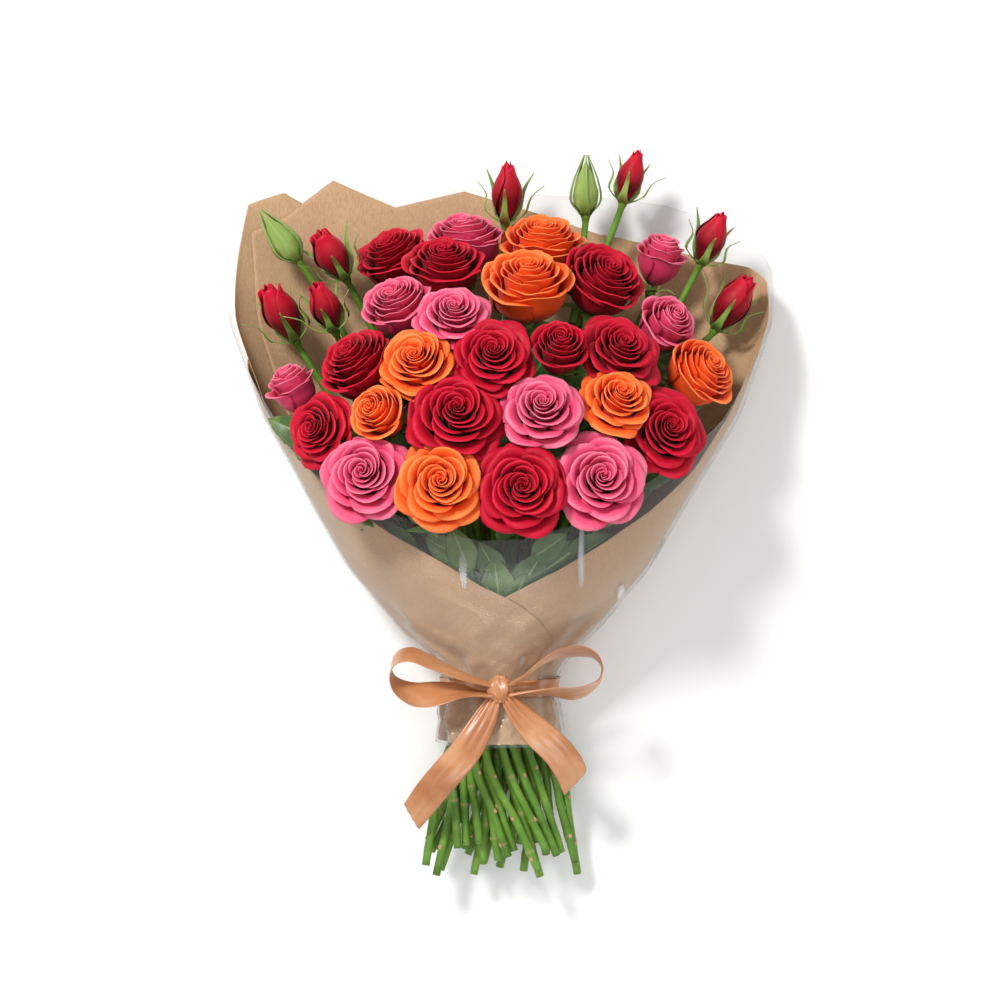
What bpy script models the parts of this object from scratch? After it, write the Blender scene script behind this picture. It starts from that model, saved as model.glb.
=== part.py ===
"""A rose bouquet in kraft paper and clear film, lying on its back.

Frame: +Y runs towards the blooms, -Y towards the cut stem ends, +X to the right and +Z up from
the surface. The origin is the middle of the flat back of the wrapper. Lengths are in
millimetres here, and mesh_object scales them to metres.
"""
import math
import random

import bmesh
import bpy
import numpy as np
from mathutils import Matrix, Vector

MM = 0.001
SEED = 27
GAP = 0.4

# Blooms: sizes of the reference open rose, which each rose scales
BLOOM_WIDTH = 54.0
BLOOM_HEIGHT = 44.0
PETAL_THICK = 1.5
SCRAP_POINTS = 24
PRESS_SOFT = 4.0
PRESS_MARGIN = 4.0

# The head is a low dome of rose eyes over the floor
DOME_RX = 225.0
DOME_RY = 235.0
DOME_Y = -10.0
DOME_RISE = 195.0
DOME_SINK = 5.0
DOME_EDGE = 46.0

# Stems, gathered at the waist and fanned out again below it
STEM_R = 2.95
STEM_TIP_R = 2.4
STEM_SIDES = 5
STEM_POINTS = 26
BAR_STEP = 5
STEM_ROOM = 8.8
HIP = [(3.8, 0.5), (5.3, 4.5), (2.6, 11.0)]
BUD_HIP = [(2.8, 0.4), (3.8, 4.0), (2.0, 9.0)]
WAIST_Y = -124.0
WAIST_Z = 39.5
BUNDLE_START = 19.0
BUNDLE_STEPS = 1500
TRIO_PITCH = 4.5
FREE_PITCH = 6.5
TIE_R = 0.9
TIE_SIDES = 16
END_Y = -250.0
END_RANDOM = 28.0
END_WIDEN = 3.9
END_DEEPEN = 1.22
END_DROP = 3.0
TWIST = math.radians(-62)

# Wrapper: stations of the outer skin as (y, half width, top, widest height, floor of the skin)
STATIONS = [
    (-165, 45, 87, 43, 1.4),
    (-124, 39.5, 81, 41, 9.9),
    (-108, 45, 85, 42, 5.0),
    (-80, 72, 106, 48, 0.0),
    (-40, 107, 130, 58, 0.0),
    (10, 137, 144, 66, 0.0),
    (70, 171, 144, 62, 0.0),
    (140, 195, 134, 50, 0.0),
    (265, 204, 120, 34, 0.0),
]
PLEATED = 3
COLUMNS = 24
FLATTEN = 1.3
SHEET_THICK = 0.8
SHEET_PITCH = 1.5
PLEAT = 1.2

# Ribbon
RIBBON_WIDE = 25.0
RIBBON_THICK = 1.0
BAND_WIDE = 12.0  # the ribbon is drawn together where it goes round the waist

# Roses: name, colour, eye x, eye y, width, tilt from upright, heading of the lean, form
ROSES = [
    ("01", "pink", -27, 210, 54, 66, 95, "open"),
    ("02", "orange", 30, 206, 57, 62, 88, "open"),
    ("03", "red", -83, 196, 50, 60, 118, "open"),
    ("04", "red", -40, 187, 51, 54, 92, "open"),
    ("05", "orange", 19, 174, 60, 52, 90, "open"),
    ("06", "red", 78, 175, 55, 46, 60, "open"),
    ("07", "pink", 119, 197, 44, 68, 75, "half"),
    ("08", "pink", -76, 155, 46, 52, 112, "open"),
    ("09", "pink", -32, 144, 49, 38, 88, "open"),
    ("10", "pink", 123, 141, 48, 45, 50, "half"),
    ("11", "red", -106, 113, 52, 56, 128, "open"),
    ("12", "orange", -59, 110, 54, 32, 110, "open"),
    ("13", "red", -5, 113, 54, 25, 90, "open"),
    ("14", "red", 41, 121, 45, 36, 88, "half"),
    ("15", "red", 85, 120, 55, 38, 66, "open"),
    ("16", "orange", 149, 107, 50, 52, 40, "open"),
    ("17", "pink", -150, 99, 42, 72, 118, "half"),
    ("18", "orange", -88, 73, 45, 35, 145, "half"),
    ("19", "red", -29, 73, 63, 24, 84, "open"),
    ("20", "pink", 28, 77, 51, 28, 90, "open"),
    ("21", "orange", 83, 85, 49, 36, 66, "open"),
    ("22", "red", 117, 61, 54, 24, 40, "open"),
    ("23", "red", -130, 60, 48, 34, 165, "open"),
    ("24", "pink", -93, 30, 56, 16, 130, "open"),
    ("25", "orange", -40, 24, 57, 12, 95, "open"),
    ("26", "red", 15, 20, 57, 9, 90, "open"),
    ("27", "pink", 69, 27, 57, 13, 70, "open"),
]

# Three stems lie together in each green node
TRIOS = [
    ("24", "25", "18"),
    ("26", "19", "13"),
    ("27", "22", "21"),
    ("23", "17", "11"),
    ("12", "09", "08"),
    ("20", "14", "15"),
    ("16", "10", "06"),
    ("01", "04", "03"),
    ("02", "05", "07"),
]

# Buds: name, spray, colour, tip, foot, width
BUDS = [
    ("1", "middle", "red", (6, 253, 62), (4, 214, 46), 25),
    ("2", "back_right", "green", (62, 254, 52), (62, 220, 40), 20),
    ("3", "back_right", "red", (100, 262, 56), (90, 229, 42), 22),
    ("4", "right", "red", (160, 216, 64), (146, 184, 48), 26),
    ("5", "right", "red", (180, 170, 66), (157, 136, 50), 28),
    ("6", "back_left", "green", (-169, 214, 58), (-148, 186, 44), 19),
    ("7", "back_left", "red", (-130, 203, 66), (-113, 173, 50), 28),
    ("8", "left", "red", (-168, 164, 66), (-149, 128, 50), 28),
    ("9", "left", "red", (-131, 164, 88), (-119, 134, 72), 24),
]

# Leaves: stem, point along it, foot and tip seen from above, width, depth under the wrapper's skin
LEAVES = [
    ("24", 1, (-60, -24), (-94, -6), 24, 8.0),
    ("25", 2, (-38, -42), (-72, -34), 22, 8.0),
    ("25", 1, (-26, -30), (-52, -16), 20, 8.0),
    ("26", 3, (-4, -56), (-26, -40), 20, 8.0),
    ("26", 2, (0, -44), (-14, -20), 20, 8.0),
    ("26", 3, (8, -54), (34, -40), 22, 8.0),
    ("27", 2, (40, -38), (72, -24), 22, 8.0),
    ("27", 1, (22, -30), (46, -14), 20, 8.0),
]

# A leaf's half widths from foot to tip, in and out along its toothed edge
LEAF_OUTLINE = [0.10, 0.80, 0.78, 1.0, 0.56, 0.04]
LEAF_FOLD = 1.6
LEAF_THICK = 1.3
SEPAL_THICK = 1.0

# Room that the stems keep inside the wrapper
STEM_FLOOR = 11.0
STEM_MARGIN = 15.0
FRONT_EDGE = -12.0
HOST_POINT = 10

# Sheets: name, layer from the outside, first column, hem, height of the top edge per column
SHEETS = [
    ("clear_film", 0, 0, -165,
     [236, 234, 228, 216, 200, 176, 130, 66, 34, 10, -8, -17,
      -18, -10, 4, 30, 62, 112, 160, 225, 252, 258, 250, 240], "film"),
    ("kraft_front_left", 1, 8, -163,
     [-104, -90, -76, -62, -50, -32, -14, 8, 40, 96, 112, 70, 70, 60], "kraft"),
    ("kraft_right", 2, -1, -160,
     [170, 190, 206, 196, 186, 180, 168, 125, 32, 2, -20, -38, -53, -66, -80], "kraft"),
    ("kraft_back_left", 3, 17, -157,
     [95, 160, 226, 236, 216, 205, 195, 180, 160], "kraft"),
    ("kraft_back", 4, 19, -154,
     [205, 218, 246, 226, 238, 222, 205, 190], "kraft"),
]

# The bow: its knot's outline, and its loops and tails as (x, y, z, lean of the width, width)
KNOT_SECTION = [(-1, -0.5), (-0.6, -1), (0.6, -1), (1, -0.5), (1, 0.5), (0.6, 1), (-0.6, 1), (-1, 0.5)]
LOOPS = [
    [
        (-5, -120.5, 90, 6, 10), (-16, -117, 92, 10, 15), (-32, -111, 95.5, 14, 22), (-50, -103, 97, 18, 24),
        (-63, -98.5, 96, 20, 24), (-72, -101, 95, 18, 24), (-76.5, -109, 94, 17, 24), (-75, -117, 93, 21, 24),
        (-69, -123, 92, 30, 24), (-59, -127, 91, 40, 24), (-45, -126.5, 91, 42, 24), (-28, -124.5, 92, 30, 20),
        (-14, -126, 91, 16, 14), (-5, -127.5, 90, 6, 10),
    ],
    [
        (6, -120.5, 90, -6, 10), (17, -114, 92.5, -8, 15), (29, -104.5, 96, -12, 21), (43, -97.5, 97, -20, 24),
        (57, -96, 96, -20, 24), (67, -100, 95, -14, 24), (71.5, -108, 94, -10, 24), (70, -116, 93, -13, 24),
        (63, -122, 92, -20, 24), (52, -126, 91, -26, 24), (38, -125, 91, -22, 22), (20, -125.5, 90.5, -12, 16),
        (6, -127.5, 90, -6, 10),
    ],
]
TAILS = [
    [
        (-3, -128, 88, 0, 10), (-11, -145, 90.5, 0, 20), (-23, -165, 93, 0, 25), (-37, -182, 88, 0, 25),
        (-49, -197, 78, 0, 25), (-60, -212, 66, 0, 25),
    ],
    [
        (4, -128, 89.5, 0, 10), (14, -141, 91.5, 0, 19), (28, -155, 92, 0, 25), (41, -168, 86, 0, 25),
        (50, -182, 77, 0, 25), (55, -197, 66, 0, 25),
    ],
]

FINISHES = {
    "red": ((0.60, 0.008, 0.03), 0.6),
    "pink": ((0.80, 0.16, 0.30), 0.6),
    "orange": ((0.85, 0.16, 0.05), 0.6),
    "green": ((0.10, 0.22, 0.04), 0.55),
    "kraft": ((0.50, 0.32, 0.17), 0.85),
    "film": ((0.85, 0.86, 0.86), 0.08),
    "ribbon": ((0.70, 0.36, 0.20), 0.35),
    "twine": ((0.55, 0.50, 0.36), 0.8),
}


def clear_scene():
    for item in list(bpy.data.objects):
        bpy.data.objects.remove(item, do_unlink=True)


def finish_of(name):
    found = bpy.data.materials.get(name)
    if found:
        return found
    colour, roughness = FINISHES[name]
    made = bpy.data.materials.new(name)
    made.use_nodes = True
    shader = made.node_tree.nodes["Principled BSDF"]
    shader.inputs["Base Color"].default_value = (*colour, 1)
    shader.inputs["Roughness"].default_value = roughness
    shader.inputs["Metallic"].default_value = 0.0
    return made


def mesh_object(name, piece, finish, collection=None):
    """One object in metres from a piece: its points in millimetres and its faces."""
    points, faces = piece
    mesh = bpy.data.meshes.new(name)
    mesh.from_pydata([Vector(p) * MM for p in points], [], faces)
    work = bmesh.new()
    work.from_mesh(mesh)
    bmesh.ops.recalc_face_normals(work, faces=work.faces)
    work.to_mesh(mesh)
    work.free()
    mesh.materials.append(finish_of(finish))
    body = bpy.data.objects.new(name, mesh)
    (collection or bpy.context.scene.collection).objects.link(body)
    return body


def fuse(name, pieces, finish):
    """Join overlapping closed pieces into one body with one Boolean union."""
    body = mesh_object(name, pieces[0], finish)
    helpers = bpy.data.collections.new(name + " pieces")
    bpy.context.scene.collection.children.link(helpers)
    for piece in pieces[1:]:
        mesh_object(name + " piece", piece, finish, helpers)
    union = body.modifiers.new("Union", "BOOLEAN")
    union.operation = "UNION"
    union.operand_type = "COLLECTION"
    union.collection = helpers
    union.solver = "MANIFOLD"
    evaluated = body.evaluated_get(bpy.context.evaluated_depsgraph_get())
    joined = bpy.data.meshes.new_from_object(evaluated)
    body.modifiers.remove(union)
    body.data = joined
    keep_main_body(joined)
    for helper in list(helpers.objects):
        bpy.data.objects.remove(helper, do_unlink=True)
    bpy.data.collections.remove(helpers)
    return body


def keep_main_body(mesh):
    """Drop the loose scraps of a union and fill the hollows that it sealed."""
    work = bmesh.new()
    work.from_mesh(mesh)
    islands, seen = [], set()
    for start in work.verts:
        if start in seen:
            continue
        island, queue = [], [start]
        seen.add(start)
        while queue:
            here = queue.pop()
            island.append(here)
            for edge in here.link_edges:
                other = edge.other_vert(here)
                if other not in seen:
                    seen.add(other)
                    queue.append(other)
        islands.append(island)
    islands.sort(key=len)
    scraps = [vert for island in islands[:-1] for vert in island]
    if any(len(island) > SCRAP_POINTS for island in islands[:-1]):
        raise RuntimeError(f"{mesh.name}: a whole piece stands apart from its body")
    bmesh.ops.delete(work, geom=scraps, context="VERTS")
    work.to_mesh(mesh)
    work.free()


def blade(rows, thick):
    """A closed lens over a grid of points: its rim is shared, its inner points stand apart."""
    high, wide = len(rows), len(rows[0])
    points, front, back = [], {}, {}
    for i in range(high):
        for j in range(wide):
            here = rows[i][j]
            front[i, j] = back[i, j] = len(points)
            if 0 < i < high - 1 and 0 < j < wide - 1:
                across = rows[i][j + 1] - rows[i][j - 1]
                along = rows[i + 1][j] - rows[i - 1][j]
                half = across.cross(along).normalized() * thick / 2
                back[i, j] = len(points) + 1
                points += [here + half, here - half]
            else:
                points.append(here)
    faces = []
    for i in range(high - 1):
        for j in range(wide - 1):
            a, b, c, d = (i, j), (i, j + 1), (i + 1, j + 1), (i + 1, j)
            far_corner = (i == 0) == (j == wide - 2) and (i in (0, high - 2)) and (j in (0, wide - 2))
            if far_corner:
                halves = [(b, c, d), (b, d, a)]
            else:
                halves = [(a, b, c), (a, c, d)]
            for half in halves:
                faces.append([front[k] for k in half])
                faces.append([back[k] for k in reversed(half)])
    return points, faces


def rings(loops):
    """A closed solid through a list of loops with equal counts, with flat ends."""
    sides = len(loops[0])
    points = [p for loop in loops for p in loop]
    faces = [list(range(sides))[::-1]]
    for k in range(len(loops) - 1):
        low, high = k * sides, (k + 1) * sides
        for j in range(sides):
            nxt = (j + 1) % sides
            faces.append([low + j, low + nxt, high + nxt, high + j])
    last = (len(loops) - 1) * sides
    faces.append(list(range(last, last + sides)))
    return points, faces


def tube(path, radii, sides=STEM_SIDES):
    """A round bar along a path of points, with one radius for each."""
    path = [Vector(p) for p in path]
    side = Vector((1, 0, 0))
    loops = []
    for k, here in enumerate(path):
        along = (path[min(k + 1, len(path) - 1)] - path[max(k - 1, 0)]).normalized()
        side = (side - along * side.dot(along)).normalized()
        up = along.cross(side)
        turn = [2 * math.pi * s / sides for s in range(sides)]
        loops.append([here + (side * math.cos(t) + up * math.sin(t)) * radii[k] for t in turn])
    return rings(loops)


def lean(tilt, heading):
    """The direction that leans by tilt from +Z towards a heading in the floor, in degrees."""
    t, h = math.radians(tilt), math.radians(heading)
    return Vector((math.sin(t) * math.cos(h), math.sin(t) * math.sin(h), math.cos(t)))


def dome(x, y):
    share = 1 - (x / DOME_RX) ** 2 - ((y - DOME_Y) / DOME_RY) ** 2
    return max(DOME_EDGE, DOME_RISE * math.sqrt(max(share, 0)) - DOME_SINK)


class Bloom:
    """Where a rose stands and leans, and the planes that part it from its neighbours."""

    def __init__(self, name, colour, x, y, width, tilt, heading, form):
        self.name = name
        self.colour = colour
        self.form = form
        self.scale = width / BLOOM_WIDTH
        self.axis = lean(tilt, heading)
        self.eye = Vector((x, y, dome(x, y)))
        self.base = self.eye - self.axis * BLOOM_HEIGHT * self.scale
        self.middle = self.base + self.axis * BLOOM_HEIGHT * 0.62 * self.scale
        self.radius = 0.5 * width
        self.planes = []

    def place(self):
        turn = self.axis.to_track_quat("Z", "Y").to_matrix().to_4x4()
        return Matrix.Translation(self.base) @ turn @ Matrix.Scale(self.scale, 4)

    def part_from(self, other):
        """Keep to this side of the plane between the two blooms where they would press."""
        away = other.middle - self.middle
        reach = self.radius + other.radius
        if away.length < reach + PRESS_MARGIN:
            share = away.length * self.radius / reach
            self.planes.append((away.normalized(), share - GAP))

    def foot(self):
        """The middle of the bloom's foot, as its neighbours press it."""
        ring = [polar(2 * math.pi * k / COLUMNS_ROUND, WALL[0][0], 0.0) for k in range(COLUMNS_ROUND)]
        points, _ = self.pressed((ring, []))
        return sum(points, Vector()) / len(points)

    def pressed(self, piece):
        """A piece in world place, with what would cross a plane pressed softly against it."""
        points, faces = piece
        place = self.place()
        moved = []
        for point in points:
            here = place @ point
            for away, room in self.planes:
                left = room - (here - self.middle).dot(away)
                if left < PRESS_SOFT:
                    here = here - away * (PRESS_SOFT * math.exp(left / PRESS_SOFT - 1) - left)
            moved.append(here)
        return moved, faces


def petal(middle, half, profile, cells, tuck, lift, rng):
    """A cupped petal: rows of points on rings of a profile, tucked behind its neighbour."""
    rows = []
    jitter = rng.uniform(-0.02, 0.02)
    for k, (radius, height, spread) in enumerate(profile):
        row = []
        for j in range(cells + 1):
            side = 2 * j / cells - 1
            turn = middle + jitter + side * half * spread
            bent = radius + tuck * side * min(k, 1)
            drop = lift * side * side if k == len(profile) - 1 else 0
            row.append(Vector((bent * math.cos(turn), bent * math.sin(turn), height - drop)))
        rows.append(row)
    return blade(rows, PETAL_THICK)


# Profiles of a rose in its own frame, as (radius, height) or (radius, height, spread)
WALL = [(4.2, 0.0), (14.5, 12.0), (17.5, 25.0)]
SWIRL = ((19.5, 37.0), (4.5, 43.5))
OUTER = [(6.0, 8.0, 0.3), (25.0, 21.0, 1.0), (29.0, 33.0, 0.86)]
HALF_WALL = [(4.2, 0.0), (12.5, 12.0), (14.5, 27.0)]
HALF_SWIRL = ((15.0, 39.0), (4.0, 46.0))
HALF_OUTER = [(5.5, 7.0, 0.3), (20.0, 20.0, 1.0), (21.5, 36.0, 0.84)]
COLUMNS_ROUND = 8
SWIRL_STEPS = 15
GROOVE = 6.0
WAVE = 1.5


def polar(turn, radius, height):
    return Vector((radius * math.cos(turn), radius * math.sin(turn), height))


def heart(wall, swirl, spin):
    """The rolled middle of a rose in one skin: a wall, and on it a ridge that winds inward."""
    (first_r, first_z), (last_r, last_z) = swirl
    around = COLUMNS_ROUND
    points, faces = [], []

    def add(turn_step, radius, height):
        points.append(polar(spin + 2 * math.pi * turn_step / around, radius, height))
        return len(points) - 1

    def crest(step):
        share = step / SWIRL_STEPS
        wave = WAVE * (1 - share) * (1 if step % 2 else -1)
        return first_r + (last_r - first_r) * share, first_z + (last_z - first_z) * share + wave

    loops = [[add(j, radius, height) for j in range(around)] for radius, height in wall]
    crests = [add(step, *crest(step)) for step in range(SWIRL_STEPS + 1)]
    grooves = []
    for step in range(SWIRL_STEPS - around + 1):
        (r_out, z_out), (r_in, z_in) = crest(step), crest(step + around)
        depth = GROOVE * (1 - 0.5 * step / SWIRL_STEPS)
        grooves.append(add(step, (r_out + r_in) / 2, min(z_out, z_in) - depth))
    faces.append(loops[0][::-1])
    for low, high in zip(loops, loops[1:]):
        for j in range(around):
            k = (j + 1) % around
            faces.append([low[j], low[k], high[k], high[j]])
    top = loops[-1]
    for j in range(around):
        faces.append([top[j], top[(j + 1) % around], crests[j + 1], crests[j]])
    faces.append([top[0], crests[0], grooves[0]])
    faces.append([top[0], grooves[0], crests[around]])
    for step in range(SWIRL_STEPS - around):
        faces.append([crests[step], crests[step + 1], grooves[step + 1], grooves[step]])
        inner = step + around
        faces.append([grooves[step], grooves[step + 1], crests[inner + 1], crests[inner]])
    centre = add(0, 0.0, last_z - 4)
    rim = crests[SWIRL_STEPS - around:] + [grooves[-1]]
    for k, here in enumerate(rim):
        faces.append([here, rim[(k + 1) % len(rim)], centre])
    return points, faces


def bloom_pieces(bloom):
    rng = random.Random(SEED + int(bloom.name))
    start = rng.uniform(0, 2 * math.pi)
    if bloom.form == "open":
        wall, swirl, outer, count, half = WALL, SWIRL, OUTER, 5, 0.80
    else:
        wall, swirl, outer, count, half = HALF_WALL, HALF_SWIRL, HALF_OUTER, 4, 0.98
    pieces = [heart(wall, swirl, start)]
    for k in range(count):
        middle = start + 2 * math.pi * k / count
        pieces.append(petal(middle, half, outer, 2, 2.2, 4.0, rng))
    return [bloom.pressed(piece) for piece in pieces]


def make_blooms(blooms):
    for bloom in blooms.values():
        fuse(f"rose_{bloom.name}_{bloom.colour}", bloom_pieces(bloom), bloom.colour)


def bud_frame(tip, foot):
    axis = (Vector(tip) - Vector(foot)).normalized()
    turn = axis.to_track_quat("Z", "Y").to_matrix().to_4x4()
    return Matrix.Translation(Vector(foot)) @ turn


BUD_SHAPE = [(0.20, 0.0), (0.44, 0.14), (0.50, 0.38), (0.36, 0.70), (0.07, 1.0)]


def bud_body(tip, foot, width, lift):
    """A closed bud: an egg of wrapped petals, whose edges stand out as three winding steps."""
    length = (Vector(tip) - Vector(foot)).length
    sides, petals = 9, 3
    loops = []
    for radius, height in BUD_SHAPE:
        loop = []
        for k in range(sides):
            step = (k % (sides // petals)) / (sides // petals - 1) - 0.5
            r = radius * width * (1 + 0.16 * step * min(1, 4 * height))
            turn = 2 * math.pi * k / sides + 1.1 * height
            loop.append(Vector((r * math.cos(turn), r * math.sin(turn), lift + height * (length - lift))))
        loops.append(loop)
    points, faces = rings(loops)
    place = bud_frame(tip, foot)
    return [place @ p for p in points], faces


def grown(pieces, place):
    return [([place @ p for p in points], faces) for points, faces in pieces]


def bud_greens(tip, foot, width):
    """The five sepals that hold a bud, clear of its petals."""
    length = (Vector(tip) - Vector(foot)).length
    pieces = []
    flare = [(2.4, -3.9, 1.3), (0.54 * width + 2.0, 0.13 * length, 3.4), (0.80 * width, 0.52 * length, 0.5)]
    for k in range(5):
        turn = 2 * math.pi * k / 5 + 0.3
        side = Vector((-math.sin(turn), math.cos(turn), 0))
        line = [polar(turn, radius, height) for radius, height, _ in flare]
        loops = []
        for here, (_, _, wide) in zip(line, flare):
            thin = side.cross(line[-1] - line[0]).normalized() * SEPAL_THICK
            loops.append([here + side * wide, here - side * wide, here + thin])
        pieces.append(rings(loops))
    return grown(pieces, bud_frame(tip, foot))


class Stem:
    """A stem from under its flower down to the waist, or to the stem that it branches from."""

    def __init__(self, name, node, base, axis, spot=None, host=None):
        self.name = name
        self.node = node
        self.base = Vector(base)
        self.axis = Vector(axis).normalized()
        self.spot = spot
        self.host = host
        self.path = None

    def heading(self):
        """Where the stem's top lies, as slopes seen from the waist."""
        run = self.base.y - WAIST_Y
        return [self.base.x / run, (self.base.z - WAIST_Z) / run]

    def start_path(self, end):
        """A smooth first guess: away from the flower, then in along the waist."""
        reach = (self.base - end).length
        below = self.base - self.axis * 0.35 * reach
        above = end + Vector((0, 0.35 * reach, 0))
        line = []
        for k in range(STEM_POINTS):
            t = k / (STEM_POINTS - 1)
            line.append(
                self.base * (1 - t) ** 3 + below * 3 * t * (1 - t) ** 2
                + above * 3 * t * t * (1 - t) + end * t ** 3
            )
        return np.array([tuple(p) for p in line])


def waist_spots(stems):
    """Pack the stems round the waist in the order of the fan, each node's own ones fused."""
    fan = np.array([stem.heading() for stem in stems])
    fan -= fan.mean(axis=0)
    spots = fan / np.abs(fan).max(axis=0) * BUNDLE_START
    same = np.array([[a.node == b.node for b in stems] for a in stems])
    for step in range(BUNDLE_STEPS):
        done = step / BUNDLE_STEPS
        apart = spots[:, None] - spots[None]
        space = np.linalg.norm(apart, axis=2) + np.eye(len(stems))
        away = apart / space[..., None]
        room = FREE_PITCH * min(1.0, 2 * done)
        pull = 0.2 * np.where(same, TRIO_PITCH - space, np.maximum(room - space, 0))
        np.fill_diagonal(pull, 0)
        inward = 0.01 * max(0.0, 1 - done / 0.7)
        spots = spots + (away * pull[..., None]).sum(axis=1) - inward * spots
    return spots


def bloom_balls(blooms):
    """Balls that fill each flower, which no other stem may enter."""
    balls = []
    for bloom in blooms.values():
        for share, radius in [(-0.14, 8), (0.10, 9), (0.30, 18), (0.50, 26), (0.72, 30)]:
            centre = bloom.base + bloom.axis * share * BLOOM_HEIGHT * bloom.scale
            balls.append((bloom.name, *centre, radius * bloom.scale))
    for name, _, _, tip, foot, width in BUDS:
        for share in (-0.1, 0.2, 0.5, 0.8):
            centre = Vector(foot).lerp(Vector(tip), share)
            balls.append(("bud" + name, *centre, width * 0.62))
    return balls


def settle(stems, blooms):
    """Let the stems push each other, the flowers and the wrapper apart, and stay smooth."""
    paths = np.array([stem.path for stem in stems])
    count, steps, _ = paths.shape
    node_of = np.repeat([hash_free(stem.node) for stem in stems], steps)
    apart_nodes = node_of[:, None] != node_of[None]
    balls = bloom_balls(blooms)
    centres = np.array([ball[1:4] for ball in balls])
    radii = np.array([ball[4] for ball in balls]) + STEM_R + 1.0
    foreign = np.array([[ball[0] != stem.name for ball in balls] for stem in stems])
    foreign = np.repeat(foreign, steps, axis=0)
    held = np.zeros((count, steps), bool)
    held[:, :2] = held[:, -2:] = True
    order = [stem.name for stem in stems]
    for _ in range(260):
        flat = paths.reshape(-1, 3)
        push = np.zeros_like(flat)
        apart = flat[:, None] - flat[None]
        space = np.linalg.norm(apart, axis=2) + 1e-6
        short = np.where(apart_nodes & (space < STEM_ROOM), STEM_ROOM - space, 0)
        push += 0.45 * (apart / space[..., None] * short[..., None]).sum(axis=1)
        apart = flat[:, None] - centres[None]
        space = np.linalg.norm(apart, axis=2) + 1e-6
        short = np.where(foreign & (space < radii), radii - space, 0)
        push += 0.5 * (apart / space[..., None] * short[..., None]).sum(axis=1)
        size = np.linalg.norm(push, axis=1, keepdims=True)
        push *= np.minimum(1, 1.5 / (size + 1e-9))
        push = push.reshape(paths.shape)
        smooth = np.zeros_like(paths)
        smooth[:, 1:-1] = (paths[:, 2:] + paths[:, :-2]) / 2 - paths[:, 1:-1]
        moved = paths + push + 0.35 * smooth
        moved[..., 2] = np.maximum(moved[..., 2], STEM_FLOOR)
        moved = inside_wrapper(moved)
        paths = np.where(held[..., None], paths, moved)
        for k, stem in enumerate(stems):
            if stem.host:
                paths[k, -1] = paths[order.index(stem.host), HOST_POINT]
                paths[k, -2] = (paths[k, -3] + paths[k, -1]) / 2
    for stem, path in zip(stems, paths):
        stem.path = path


def hash_free(name):
    """A plain number for a node's name, the same on each run."""
    return sum((k + 1) * ord(letter) for k, letter in enumerate(name))


def inside_wrapper(points):
    """Bring points that stand out of the wrapper's front back under it."""
    y = points[..., 1]
    stations = np.array(STATIONS)
    half = np.interp(y, stations[:, 0], stations[:, 1]) - STEM_MARGIN
    top = np.interp(y, stations[:, 0], stations[:, 2]) - STEM_MARGIN
    middle = np.interp(y, stations[:, 0], stations[:, 3])
    rise = np.maximum(points[..., 2] - middle, 0)
    out = np.sqrt((points[..., 0] / half) ** 2 + (rise / (top - middle)) ** 2)
    back = np.where((out > 1) & (y < FRONT_EDGE), 1 / np.maximum(out, 1e-6), 1)
    kept = points.copy()
    kept[..., 0] = points[..., 0] * back
    kept[..., 2] = np.where(rise > 0, middle + rise * back, points[..., 2])
    return kept


def fanned(spot, share):
    """Where a stem is at a share of the way down: the bundle turns and opens as one."""
    c, s = math.cos(TWIST * share), math.sin(TWIST * share)
    x = (spot[0] * c - spot[1] * s) * (1 + (END_WIDEN - 1) * share)
    z = (spot[0] * s + spot[1] * c) * (1 + (END_DEEPEN - 1) * share)
    return Vector((x, WAIST_Y + (END_Y - WAIST_Y) * share, WAIST_Z + z - END_DROP * share))


def below_waist(spot, end_y):
    """The two straight runs of a stem under the waist, the lower one cut at its own length."""
    middle, full = fanned(spot, 0.5), fanned(spot, 1.0)
    cut = (end_y - middle.y) / (full.y - middle.y)
    return [tuple(middle), tuple(middle.lerp(full, cut))]


def skin_height(x, y):
    """The height of the wrapper's front over a place, as if it ran on over the whole head."""
    station = [np.interp(y, [row[0] for row in STATIONS], [row[k] for row in STATIONS]) for k in (1, 2, 3)]
    half, top, middle = station
    return middle + (top - middle) * math.sqrt(max(1 - (x / half) ** 2, 0))


def leaf_pieces(stem, point, foot, tip, width, depth):
    """A rose leaf with a toothed edge under the wrapper, and the stalk that ties it to its stem."""
    foot, tip = Vector(foot), Vector(tip)
    along = tip - foot
    side = Vector((-along.y, along.x)).normalized()
    rows = []
    for k, wide in enumerate(LEAF_OUTLINE):
        t = k / (len(LEAF_OUTLINE) - 1)
        row = []
        for edge in (-1, 0, 1):
            spot = foot + along * t + side * edge * wide * width / 2
            sunk = depth + LEAF_FOLD * (edge == 0)
            row.append(Vector((spot.x, spot.y, skin_height(spot.x, spot.y) - sunk)))
        rows.append(row)
    start = Vector(stem.path[BAR_STEP * point])
    stalk = tube([start, start.lerp(rows[0][1], 0.6), rows[0][1].lerp(rows[1][1], 0.5)], [1.5, 1.2, 0.9], 3)
    return [blade(rows, LEAF_THICK), stalk]


def stem_bar(stem, flower, hip, scale, end_y=None):
    """The faceted bar of one stem: the hip under its flower, its path, and its lower end."""
    line = [tuple(flower - stem.axis * depth * scale) for _, depth in hip]
    radii = [radius * scale for radius, _ in hip]
    lower = [tuple(p) for p in stem.path[BAR_STEP::BAR_STEP]]
    if end_y is not None:
        lower += below_waist(stem.spot, end_y)
    for k in range(len(lower)):
        radii.append(STEM_TIP_R + (STEM_R - STEM_TIP_R) * min(1, 1.6 * k / len(lower)))
    return tube(line + lower, radii)


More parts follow.
